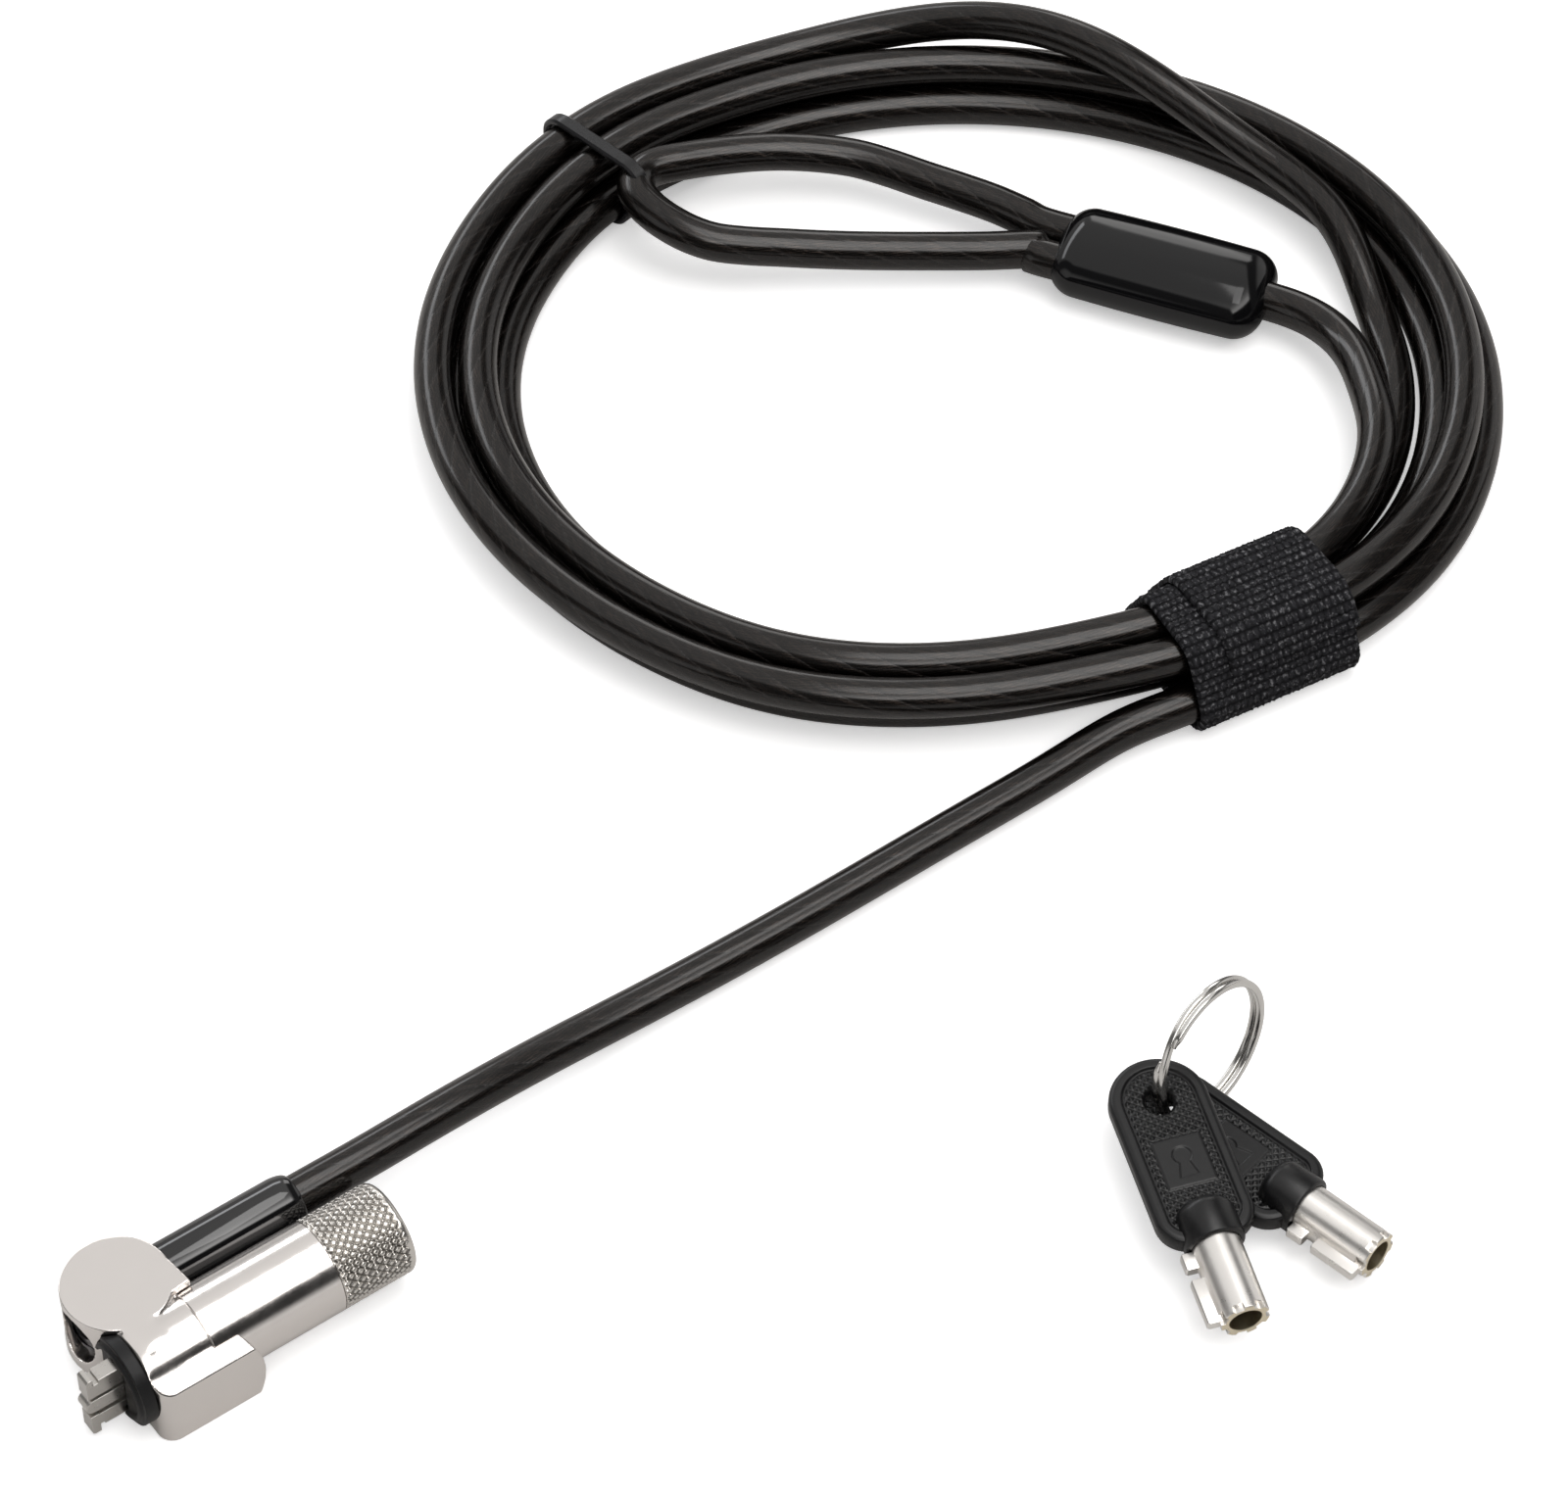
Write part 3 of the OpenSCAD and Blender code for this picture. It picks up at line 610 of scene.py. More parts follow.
def group_tree(
    group: Group, inputs: dict[str, float], outputs: dict[str, str]
) -> tuple[Nodes, Sequence[Socket], bpy.types.Node]:
    """A new node group with named sockets.

    Args:
        group: Which effect it is.
        inputs: The names and defaults of its float inputs. A vector named Place comes first.
        outputs: The names and socket types of its outputs.

    Returns:
        The builder of its tree, its inputs as seen from inside, and its output node.
    """
    tree = bpy.data.node_groups.new(group.value, "ShaderNodeTree")
    tree.interface.new_socket("Place", in_out="INPUT", socket_type="NodeSocketVector")
    for name, value in inputs.items():
        socket = tree.interface.new_socket(name, in_out="INPUT", socket_type="NodeSocketFloat")
        socket.default_value = value
    for name, kind in outputs.items():
        tree.interface.new_socket(name, in_out="OUTPUT", socket_type=kind)
    g = Nodes(tree)
    inside = g.add("NodeGroupInput").outputs[: 1 + len(inputs)]
    return g, inside, g.add("NodeGroupOutput")


def build_wear_group() -> None:
    """Uneven polish: a roughness that drifts, and a faint unevenness of the surface."""
    g, (place_in, scale, rough, spread, depth), out = group_tree(
        Group.WEAR,
        {"Scale": 200.0, "Roughness": 0.2, "Spread": 0.1, "Depth": 0.00002},
        {"Roughness": "NodeSocketFloat", "Normal": "NodeSocketVector"},
    )
    drift = g.math("SUBTRACT", g.noise(place_in, scale, 4.0), 0.5)
    grain = g.math("SUBTRACT", g.noise(place_in, g.math("MULTIPLY", scale, 9.0), 2.0), 0.5)
    change = g.math("MULTIPLY_ADD", grain, 0.5, drift)
    height = g.math("MULTIPLY_ADD", grain, 0.35, drift)
    rough = g.math("MULTIPLY_ADD", change, spread, rough)
    g.fill(out, {"Roughness": rough, "Normal": g.bump(height, depth)})


def build_strands_group() -> None:
    """Wires twisted in strands. Place holds turns round the cable and metres along it."""
    g, (place_in, strands, lay, wires), out = group_tree(
        Group.STRANDS,
        {"Strands": 6.0, "Lay": 0.04, "Wires": 7.0},
        {name: "NodeSocketFloat" for name in ("Height", "Gap", "Wire", "Streak")},
    )
    turn, metres, _ = g.split(place_in)
    lays = g.math("DIVIDE", metres, lay)
    wobble = g.math("SUBTRACT", g.noise(place_in, 60.0, 2.0), 0.5)
    turns = g.math("MULTIPLY_ADD", wobble, 0.05, g.math("SUBTRACT", turn, lays))
    crown = g.half_round(g.math("MULTIPLY", turns, strands))
    count = g.math("MULTIPLY", strands, wires)
    across, along = g.math("MULTIPLY", turns, count), g.math("MULTIPLY", metres, 260.0)
    grain = g.first(g.add("ShaderNodeCombineXYZ"), across, along)
    # The wires of a strand lie the other way, almost along the cable
    back = g.math("MULTIPLY_ADD", lays, 0.45, turn)
    g.fill(out, {
        "Height": crown,
        "Gap": g.span(crown, 0.1, 0.62, 1.0, 0.0),
        "Wire": g.half_round(g.math("MULTIPLY", back, count)),
        "Streak": g.noise(grain, 1.3, 2.0),
    })


def build_weave_group() -> None:
    """A ribbed weave. Place holds metres across the ribs and metres along them."""
    g, (place_in, rib, pick), out = group_tree(
        Group.WEAVE,
        {"Rib": 0.0013, "Pick": 0.001},
        {"Height": "NodeSocketFloat", "Shade": "NodeSocketFloat"},
    )
    across, along, _ = g.split(place_in)
    x, y = g.math("DIVIDE", across, rib), g.math("DIVIDE", along, pick)
    odd = g.math("MULTIPLY", g.math("MODULO", g.math("FLOOR", x), 2.0), 0.5)
    ridge, bead = (
        g.math("ABSOLUTE", g.math("SINE", g.math("MULTIPLY", v, math.pi)))
        for v in (x, g.math("ADD", y, odd))
    )
    weave = g.math("MULTIPLY", g.math("POWER", ridge, 0.6), g.math("MULTIPLY_ADD", bead, 0.6, 0.4))
    fuzz = g.noise(place_in, 6000.0, 2.0)
    # Shade sets the strap's painted shade between the ribs
    g.fill(out, {"Height": g.math("MULTIPLY_ADD", fuzz, 0.3, weave), "Shade": weave})


@dataclass(frozen=True)
class Finish:
    """A finish whose roughness and surface drift a little.

    Attributes:
        name: The material's name.
        slot: The name of a material slot, which is not used.
        colour: Base colour.
        metallic: 0 or 1.
        roughness: Mean roughness.
        spread: How far the roughness drifts.
        scale: How fine the drift is, per metre.
        depth: Height of the surface's unevenness, in metres.
        edge: Radius by which the shading rounds sharp edges, in metres.
        specular: Specular level of a non-metal.
        painted_shade_reach: How far from a wall the painted shade reaches, in metres: the base
            colour darkens in creases and recesses.
        painted_shade_keep: How much of the colour stays where the painted shade is deepest.
    """

    name: str
    slot: str
    colour: Colour
    metallic: float = 0.0
    roughness: float = 0.3
    spread: float = 0.1
    scale: float = 250.0
    depth: float = 0.00001
    edge: float = 0.0
    specular: float = 0.5
    painted_shade_reach: float = 0.0
    painted_shade_keep: float = 0.12

    def material(self) -> bpy.types.Material:
        """The material, built at its first use."""
        return bpy.data.materials.get(f"{self.name}_look") or self.build()

    def build(self) -> bpy.types.Material:
        """Builds the material.

        Returns:
            The new material.
        """
        material, n, shader = new_material(f"{self.name}_look")
        wear = n.group(Group.WEAR, {
            "Place": n.add("ShaderNodeTexCoord").outputs["Object"],
            "Scale": self.scale,
            "Roughness": self.roughness,
            "Spread": self.spread,
            "Depth": self.depth,
        })
        colour, normal = self.colour, wear.outputs["Normal"]
        # Painted shade: ambient occlusion darkens the base colour near walls, in creases and
        # recesses
        if self.painted_shade_reach:
            occlusion = n.add("ShaderNodeAmbientOcclusion", samples=8)
            n.put(occlusion.inputs["Distance"], self.painted_shade_reach)
            light = n.span(occlusion.outputs["AO"], 0.35, 0.95, self.painted_shade_keep, 1.0)
            colour = n.mix(light, (0.0, 0.0, 0.0), colour)
        if self.edge:
            bevel = n.add("ShaderNodeBevel", samples=6)
            n.put(bevel.inputs["Radius"], self.edge)
            flat = n.add("ShaderNodeNewGeometry").outputs["Normal"]
            both = n.vector("ADD", normal, bevel.outputs[0])
            normal = n.vector("NORMALIZE", n.vector("SUBTRACT", both, flat))
        n.fill(shader, {
            "Base Color": colour,
            "Metallic": self.metallic,
            "Roughness": wear.outputs["Roughness"],
            "Specular IOR Level": self.specular,
            "Normal": normal,
        })
        return material

    def dress(self, obj: bpy.types.Object) -> bpy.types.Object:
        """Gives the finish to an object.

        Args:
            obj: The object.

        Returns:
            The same object.
        """
        obj.data.materials.clear()
        obj.data.materials.append(self.material())
        return obj

    def show(self, obj: bpy.types.Object, body: str, *nodes: str) -> bpy.types.Object:
        """Dresses a piece that rides a body in place of CAD nodes.

        Args:
            obj: The piece.
            body: The body that it rides.
            nodes: The CAD nodes that it replaces.

        Returns:
            The same piece.
        """
        self.dress(obj)
        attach(obj, body)
        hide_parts(*nodes)
        return obj


def new_material(name: str) -> tuple[bpy.types.Material, Nodes, bpy.types.Node]:
    """A material with an empty tree but for its shader, which is returned too.

    Args:
        name: The material's name.

    Returns:
        The material, the builder of its tree, and its shader.
    """
    material = bpy.data.materials.new(name)
    material.use_nodes = True
    n = Nodes(material.node_tree)
    n.tree.nodes.clear()
    shader = n.add("ShaderNodeBsdfPrincipled")
    n.fill(n.add("ShaderNodeOutputMaterial"), {"Surface": shader.outputs[0]})
    return material, n, shader


@dataclass(frozen=True)
class CableFinish(Finish):
    """Steel strands seen through a smoke-coloured glossy sheath, with painted glints on the wires.
    """

    gap_colour: Colour = (0.003, 0.0027, 0.0027)
    glint_and_streak_colour: Colour = (0.06, 0.049, 0.041)
    smoke: Colour = (0.5, 0.46, 0.44)
    strand_depth: float = 0.00016
    sheath_depth: float = 0.00001

    def build(self) -> bpy.types.Material:
        """Builds the material, from the turns and metres in the tube's UV map.

        Returns:
            The new material.
        """
        material, n, shader = new_material(f"{self.name}_look")
        uv = n.add("ShaderNodeUVMap", uv_map="cable").outputs[0]
        strands = n.group(Group.STRANDS, {"Place": uv})
        names = ("Gap", "Wire", "Height", "Streak")
        gap, wire, crown, streak = (strands.outputs[x] for x in names)
        # Painted highlight: the base colour lightens to a glint colour on the wires' crowns in
        # patches, and along streaks of tone on the wires
        patch = n.span(n.noise(uv, 260.0), 0.5, 0.64, 0.0, 1.0)
        glint_and_streak = n.math("MULTIPLY", n.math("POWER", wire, 3.0), patch)
        glint_and_streak = n.math("MULTIPLY_ADD", n.span(streak, 0.45, 0.72, 0.0, 0.8), 0.6, glint_and_streak, clamp=True)
        tint = n.mix(glint_and_streak, self.colour, self.glint_and_streak_colour)
        dull = n.noise(n.vector("MULTIPLY", uv, (1.0, 30.0, 1.0)), 3.0)
        n.fill(shader, {
            "Base Color": n.mix(gap, tint, self.gap_colour),
            "Metallic": n.math("MULTIPLY_ADD", gap, -0.8, self.metallic),
            "Roughness": n.math("MULTIPLY_ADD", wire, -0.12, self.roughness),
            "Normal": n.bump(n.math("MULTIPLY_ADD", wire, 0.2, crown), self.strand_depth),
            "Coat Weight": 1.0,
            "Coat IOR": 1.44,
            "Coat Tint": self.smoke,
            "Coat Roughness": n.span(dull, 0.3, 0.7, 0.12, 0.2),
            "Coat Normal": n.bump(crown, self.sheath_depth),
        })
        return material


@dataclass(frozen=True)
class WeaveFinish(Finish):
    """Ribbed black webbing, with painted sparkle on its threads and painted shade between its ribs.
    """

    thread: Colour = (0.022, 0.022, 0.025)
    painted_sparkle: Colour = (0.19, 0.19, 0.2)
    thread_depth: float = 0.00022

    def build(self) -> bpy.types.Material:
        """Builds the material, from the metres in the band's UV map.

        Returns:
            The new material.
        """
        material, n, shader = new_material(f"{self.name}_look")
        uv = n.add("ShaderNodeUVMap", uv_map="weave").outputs[0]
        weave = n.group(Group.WEAVE, {"Place": uv})
        # Painted highlight: threads turn light grey in noise patches, as sparkle. Painted shade:
        # the colour darkens between the ribs
        lint = n.noise(uv, 1500.0, 4.0, 0.7)
        light = n.mix(n.span(lint, 0.52, 0.66, 0.0, 1.0), self.thread, self.painted_sparkle)
        shade = n.span(weave.outputs["Shade"], 0.25, 0.9, 0.0, 1.0)
        n.fill(shader, {
            "Base Color": n.mix(shade, self.colour, light),
            "Roughness": self.roughness,
            "Specular IOR Level": self.specular,
            "Normal": n.bump(weave.outputs["Height"], self.thread_depth),
        })
        return material


NICKEL = Finish("polished_nickel", "polished_nickel", (0.85, 0.812, 0.785), 1.0, 0.17, 0.14, 420.0)
# The knurl gets painted shade in its grooves
KNURL = Finish(
    "knurled_nickel", "polished_nickel", (0.76, 0.73, 0.69), 1.0, 0.25, 0.12, 600.0,
    painted_shade_reach=0.0006, painted_shade_keep=0.5,
)
STEEL = Finish(
    "machined_steel", "hardened_steel", (0.6, 0.58, 0.55), 1.0, 0.3, 0.16, 900.0, edge=0.00012
)
BRASS = Finish("turned_brass", "brass_lock", (0.7, 0.52, 0.27), 1.0, 0.28, 0.1, edge=0.0001)
DARK_STEEL = Finish("dark_steel", "spring_steel", (0.2, 0.2, 0.21), 1.0, 0.35, 0.1, edge=0.0001)
PAD_RUBBER = Finish(
    "pad_rubber", "rubber_pad", (0.006, 0.006, 0.0065), 0.0, 0.45, 0.2, 700.0, 0.00003, specular=0.3
)
SLEEVE = Finish(
    "glossy_sleeve", "black_sleeve", (0.004, 0.004, 0.0045), 0.0, 0.09, 0.05, 160.0, 0.000004,
    specular=0.8,
)
MOULDING = Finish(
    "moulded_sleeve", "black_sleeve", (0.003, 0.003, 0.0035), 0.0, 0.1, 0.05, 160.0, 0.000004,
    specular=0.42,
)
TIE = Finish("tie_plastic", "tie_rubber", (0.008, 0.008, 0.009), 0.0, 0.28, 0.1, 500.0)
# The bow gets painted shade in the hollows of its diamond texture and in its recesses
BOW = Finish(
    "bow_plastic", "key_bow_plastic", (0.004, 0.004, 0.0045), 0.0, 0.34, 0.16, 900.0,
    specular=0.45, painted_shade_reach=0.0005,
)
KEY_NICKEL = Finish(
    "key_nickel", "key_nickel", (0.93, 0.905, 0.87), 1.0, 0.3, 0.12, 500.0, edge=0.0001
)
# The bore's inside gets painted shade, darker towards its depth
KEY_BRASS = Finish(
    "key_brass", "key_nickel", (0.88, 0.79, 0.6), 1.0, 0.3, 0.12, 500.0, painted_shade_reach=0.003
)
RING_STEEL = Finish("ring_steel", "ring_steel", (0.76, 0.745, 0.72), 1.0, 0.17, 0.1, 500.0)
CABLE = CableFinish("smoked_cable", "sheathed_cable", (0.009, 0.0083, 0.0082), 0.9, 0.42)
STRAP = WeaveFinish("strap_weave", "strap_weave", (0.005, 0.005, 0.006), 0.0, 0.75, specular=0.12)


# ---- Cable ---------------------------------------------------------------


@dataclass
class CoilRoute:
    """The coil's centreline, the same formula as in the CAD source.

    The coil is an oval whose long axis is turned in plan, and an angle of 0 lies
    under the strap. Two turns lie on the floor and two nest on top of them. Past
    the strap the tail leaves on the inside, and then the innermost strand climbs
    over the top one to the outside.
    """

    diameter: float = 5.5
    pitch: float = 6.05
    long_half: float = 71.2
    short_half: float = 61.5
    centre: tuple[float, float] = (177.2, 74.6)
    turn: float = -36.0
    strap_angle: float = -58.0
    tie_angle: float = 198.0
    turns: int = 4
    strap_lift: float = 1.35
    tie_lift: float = 1.15
    strap_sway: float = 1.5
    step_span: tuple[float, float] = (300.0, 345.0)
    climb_span: tuple[float, float] = (68.0, 96.0)
    hop_span: tuple[float, float] = (96.0, 172.0)
    hop_rise: float = 0.5
    tail_angle: float = 48.0
    tail_roll: float = 56.0
    roll_span: tuple[float, float] = (6.0, 56.0)
    drift_span: tuple[float, float] = (38.0, 70.0)
    drift_in: float = 6.0
    drift_down: float = 2.5
    rings_per_turn: int = 60

    def around(self, q: float, at: float) -> float:
        """Degrees between two places of a turn."""
        return min(abs(q - at), 360 - abs(q - at))

    def lift(self, q: float) -> float:
        """How far the strap and the tie raise the strands at q.

        Args:
            q: The place round the coil, in degrees from the strap.

        Returns:
            The rise, in millimetres.
        """
        return self.strap_lift * (1 - smooth(8, 35, self.around(q, 0))) + self.tie_lift * (
            1 - smooth(4, 22, self.around(q, self.tie_angle))
        )

    def sway(self, q: float) -> float:
        """How far the strap draws the strands outward at q."""
        return self.strap_sway * (1 - smooth(10, 60, self.around(q, 0)))

    def on_circle(self, x: float, z: float, angle: float, spare: float = 0.0) -> Array:
        """A point one pitch and a spare distance from a strand, in the cross-section.

        Args:
            x: The strand's inward offset.
            z: The strand's height.
            angle: The way to the point, in degrees up from inward.
            spare: The distance beyond one pitch.

        Returns:
            Its inward offset and its height, in millimetres.
        """
        a = math.radians(angle)
        reach = self.pitch + spare
        return np.array([x + reach * math.cos(a), z + reach * math.sin(a)])

    def climb_place(self, q: float) -> Array:
        """Turn 2's place: it climbs beside turn 3 and hops over it.

        Args:
            q: The place round the coil, in degrees from the strap.

        Returns:
            Its inward offset and its height, in millimetres.
        """
        hop = 180 * smooth(*self.hop_span, q)
        if hop <= 0:
            return self.on_circle(self.pitch, 0, 60 * smooth(*self.climb_span, q))
        top = self.on_circle(self.pitch, 0, 120)
        return self.on_circle(*top, hop, self.hop_rise * math.sin(math.radians(hop)))

    def tail_place(self, q: float) -> Array:
        """The tail's place: it rolls inward over turn 2 and drifts away.

        Args:
            q: The place round the coil, in degrees from the strap.

        Returns:
            Its inward offset and its height, in millimetres.
        """
        rolled = self.tail_roll * smooth(*self.roll_span, q)
        spare = 0.15 * math.sin(math.radians(rolled))
        gone = smooth(*self.drift_span, q)
        return self.on_circle(2 * self.pitch, 0, 120 - rolled, spare) + gone * np.array(
            [self.drift_in, -self.drift_down]
        )

    def cross_place(self, k: int, q: float) -> Array:
        """Inward offset and height of the turn k at q.

        Args:
            k: The turn, counted from the coil's start.
            q: The place round the coil, in degrees from the strap.

        Returns:
            Its inward offset and its height, in millimetres.
        """
        if k >= self.turns:
            return self.tail_place(q)
        step = np.array([self.pitch * smooth(*self.step_span, q), 0.0])
        if k == 2:
            return step + self.climb_place(q)
        places = {
            0: np.zeros(2),
            1: np.array([self.pitch, 0.0]),
            3: self.on_circle(self.pitch, 0, 120),
        }
        return step + places[k]

    def oval(self, q: float, inward: float, z: float) -> Array:
        """A point at an angle on the oval, an inward offset and a height, in millimetres.

        Args:
            q: The place round the coil, in degrees from the strap.
            inward: How far inside the oval the point lies.
            z: Its height.

        Returns:
            The point, in the row frame's directions.
        """
        t = math.radians(self.strap_angle + q)
        n = unit(np.array([self.short_half * math.cos(t), self.long_half * math.sin(t)]))
        x = self.long_half * math.cos(t) - inward * n[0]
        y = self.short_half * math.sin(t) - inward * n[1]
        c, s = math.cos(math.radians(self.turn)), math.sin(math.radians(self.turn))
        return np.array([self.centre[0] + x * c - y * s, self.centre[1] + x * s + y * c, z])

    def point(self, angle: float) -> Array:
        """The centreline's point at an angle from the coil's start.

        Args:
            angle: Degrees from the start, which grow by 360 with each turn.

        Returns:
            The point, in millimetres.
        """
        k = min(self.turns, int(angle // 360))
        q = angle - 360 * k
        inward, height = self.cross_place(k, q)
        return self.oval(q, inward - self.sway(q), self.diameter / 2 + self.lift(q) + height)

    def heading(self, q: float) -> float:
        """Degrees in plan that the coil runs along at q.

        Args:
            q: The place round the coil, in degrees from the strap.

        Returns:
            The heading, in degrees from the X axis.
        """
        t = math.radians(self.strap_angle + q)
        run = math.atan2(self.short_half * math.cos(t), -self.long_half * math.sin(t))
        return self.turn + math.degrees(run)

    def stand(self, obj: bpy.types.Object, q: float, inward: float) -> None:
        """Moves a band drawn flat in its cross-section to its place round the coil at q.

        Args:
            obj: The band.
            q: The place round the coil, in degrees from the strap.
            inward: How far inside the oval the band's origin lies, in millimetres.
        """
        x, y, _ = self.oval(q, inward, 0)
        turn = Matrix.Rotation(math.radians(90 + self.heading(q)), 4, "Z")
        tilt = Matrix.Rotation(math.pi / 2, 4, "X")
        place(obj, Matrix.Translation((x * MM, y * MM, 0)) @ turn @ tilt)

    def inner_points(self) -> list[Array]:
        """The coil's own points.

        Returns:
            Points at even angles, in millimetres.
        """
        count = self.turns * self.rings_per_turn + round(
            self.tail_angle * self.rings_per_turn / 360
        )
        return [self.point(k * 360 / self.rings_per_turn) for k in range(count + 1)]


# The centreline in millimetres where the cable isn't coiled: the lead from the ferrule
# to the strap, the tail to the crimp sleeve, and the end loop
STRAIGHT_POINTS = (
    (12, 10, 7.8), (24, 10, 7.8), (34, 10, 7.7), (48, 10.8, 6.8), (62, 11.9, 4.8),
    (76, 12.3, 3.2), (90, 12.1, 2.8), (106, 12, 2.75), (126, 12.2, 2.75),
    (143, 12.2, 2.9), (156, 12.4, 3.5),
)
TAIL_POINTS = ((222.6, 53, 5.6),)
EYE_POINTS = (
    (200, 87.6, 5.1), (193.5, 91.6, 5.3), (186, 96.6, 5.6), (177.5, 102.2, 6.2),
    (169.4, 107.8, 7), (161.8, 113.4, 8), (158.3, 118.8, 9), (157.2, 124.4, 9.6),
    (158.6, 128.3, 9.7), (162, 129.5, 9.6), (166.4, 128.4, 9.3), (173, 126, 8.7),
    (180.4, 122.3, 8), (188.1, 116, 7.2), (193.9, 107.6, 6.3), (199.6, 98.4, 5.6),
)


@dataclass
class Crimp:
    """The sleeve that closes the end loop."""

    centre: Point = (210.8, 73.9, 5.0)
    turn: float = -56.5
    length: float = 31.0
    width: float = 15.5
    thickness: float = 10.0
    spacing: float = 5.8
    depth: float = 8.0
    square: float = 0.95

    def point(self, along: float, across: float) -> Array:
        """A point of its middle plane, in millimetres.

        Args:
            along: Distance from its centre along its length.
            across: Distance from its centre to the side.

        Returns:
            The point.
        """
        c, s = math.cos(math.radians(self.turn)), math.sin(math.radians(self.turn))
        x, y, z = self.centre
        return np.array([x + along * c - across * s, y + along * s + across * c, z])

    def build(self) -> bpy.types.Object:
        """A smooth oval body with drawn-in, well rounded ends and dished mouths.

        Returns:
            The dressed sleeve.
        """
        count, half, edge = 72, self.length / 2, 4.0
        stations = [
            (-half + edge * (1 - math.sin(a)), edge * (1 - math.cos(a)))
            for a in (math.pi / 2 * (1 - k / 12) for k in range(13))
        ]
        left = stations + [(x, 0.0) for x in (-8.0, -4.0, 0.0)]
        full = left + [(-x, inset) for x, inset in reversed(left[:-1])]
        rings = []
        for x, inset in full:
            belly = 0.25 * math.cos(math.pi * x / self.length)
            rings.append(self.oval_ring(x, inset - belly + 0.25, count))
        obj = loft("crimp_sleeve_body", np.array(rings) * MM)
        place(obj, Matrix.Rotation(math.radians(self.turn), 4, "Z"))
        place(obj, Matrix.Translation(Vector(self.centre) * MM))
        return MOULDING.show(obj, "cable", "crimp_sleeve")

    def oval_ring(self, x: float, inset: float, count: int) -> list[Point]:
        """A cross-section of the sleeve, drawn in by an inset.

        Args:
            x: Its place along the sleeve, in millimetres.
            inset: How far it is drawn in.
            count: How many points it has.

        Returns:
            The points, in the sleeve's own frame.
        """
        ring = []
        for a in np.arange(count) * TAU / count:
            y = (self.width / 2 - inset) * boxed(math.cos(a), self.square)
            z = (self.thickness / 2 - inset) * boxed(math.sin(a), self.square)
            ring.append((x, y, z))
        return ring


@dataclass
class CableRun:
    """The cable: the lead from the head, the coil, the tail and the end loop."""

    route: CoilRoute = field(default_factory=CoilRoute)
    crimp: Crimp = field(default_factory=Crimp)
    sides: int = 28
    spacing: float = 0.9 * MM

    def main_points(self) -> list[Array]:
        """The points from the ferrule through the coil to the crimp sleeve, in millimetres.

        Returns:
            The points, in order.
        """
        inner = self.route.inner_points()
        d = self.route.diameter
        enter = unit(self.route.point(2) - self.route.point(0))
        leave = unit(inner[-1] - inner[-2])
        start, end = inner[0] - d * enter, inner[-1] + d * leave
        lead = [np.array(p, float) for p in STRAIGHT_POINTS]
        lead += [start - 9 * enter, start - 4 * enter, start]
        mouth = self.crimp.length / 2
        tail = spline([end + 5 * leave, *TAIL_POINTS, self.crimp.point(mouth + 4, 0)], 2)
        last = self.crimp.point(mouth - self.crimp.depth + 1, 0)
        return lead + inner + [end] + tail + [last]

    def eye_points(self) -> list[Array]:
        """The points of the end loop, from one mouth of the sleeve to the other.

        Returns:
            The points, in order and in millimetres.
        """
        mouth, side = -self.crimp.length / 2, self.crimp.spacing / 2
        deep = mouth + self.crimp.depth - 1
        middle = spline(
            [self.crimp.point(mouth - 3, -side), *EYE_POINTS, self.crimp.point(mouth - 3, side)], 2
        )
        return [self.crimp.point(deep, -side), *middle, self.crimp.point(deep, side)]

    def tube(
        self, name: str, points: Sequence[Array], passes: int = 0
    ) -> tuple[bpy.types.Object, Array]:
        """A smooth tube with its turns and its metres along it in a UV map.

        Args:
            name: The object's name.
            points: Its centreline, in millimetres.
            passes: How often the centreline is evened out, as a stiff cable does.

        Returns:
            The object, and its centreline in metres.
        """
        path = resample([p * MM for p in points], self.spacing)
        for _ in range(passes):
            path[1:-1] += 0.25 * (path[2:] + path[:-2] - 2 * path[1:-1])
        ahead = np.gradient(path, axis=0)
        ahead /= np.linalg.norm(ahead, axis=1)[:, None]
        side = np.stack([-ahead[:, 1], ahead[:, 0], np.zeros(len(path))], axis=1)
        side /= np.linalg.norm(side, axis=1)[:, None]
        up = np.cross(ahead, side)
        a = (np.arange(self.sides) * TAU / self.sides)[None, :, None]
        round_it = np.cos(a) * side[:, None, :] + np.sin(a) * up[:, None, :]
        rings = path[:, None, :] + CABLE_D / 2 * round_it
        obj = loft(name, rings)
        self.map_tube(obj)
        return obj, path

    def map_tube(self, obj: bpy.types.Object) -> None:
        """Writes the turn round the tube and the metres along it into the UV map.

        Args:
            obj: The tube.
        """
        uv = obj.data.uv_layers.new(name="cable")
        for poly in obj.data.polygons:
            rings = [v // self.sides for v in poly.vertices]
            turns = [v % self.sides for v in poly.vertices]
            wrap = max(turns) - min(turns) > self.sides / 2
            for loop, i, j in zip(poly.loop_indices, rings, turns):
                turn = j / self.sides + (1.0 if wrap and j < self.sides / 2 else 0.0)
                uv.data[loop].uv = (turn, i * self.spacing)

    def build(self, with_pieces: Sequence[bpy.types.Object]) -> list[bpy.types.Object]:
        """Builds and dresses both cords.

        Args:
            with_pieces: The separate pieces on the cable; not used.

        Returns:
            The main cable and the end loop.
        """
        cable, path = self.tube("cable_run", self.main_points(), 40)
        CABLE.show(cable, "cable", "cable_straight", "cable_coil", "cable_tail")
        eye, loop = self.tube("cable_end_loop", self.eye_points())
        CABLE.show(eye, "cable", "cable_eye")
        LOG.info("cable %.3f m, end loop %.3f m", polyline_length(path), polyline_length(loop))
        return [cable, eye]


def polyline_length(path: Array) -> float:
    """The length of a line through points."""
    return float(np.linalg.norm(np.diff(path, axis=0), axis=1).sum())


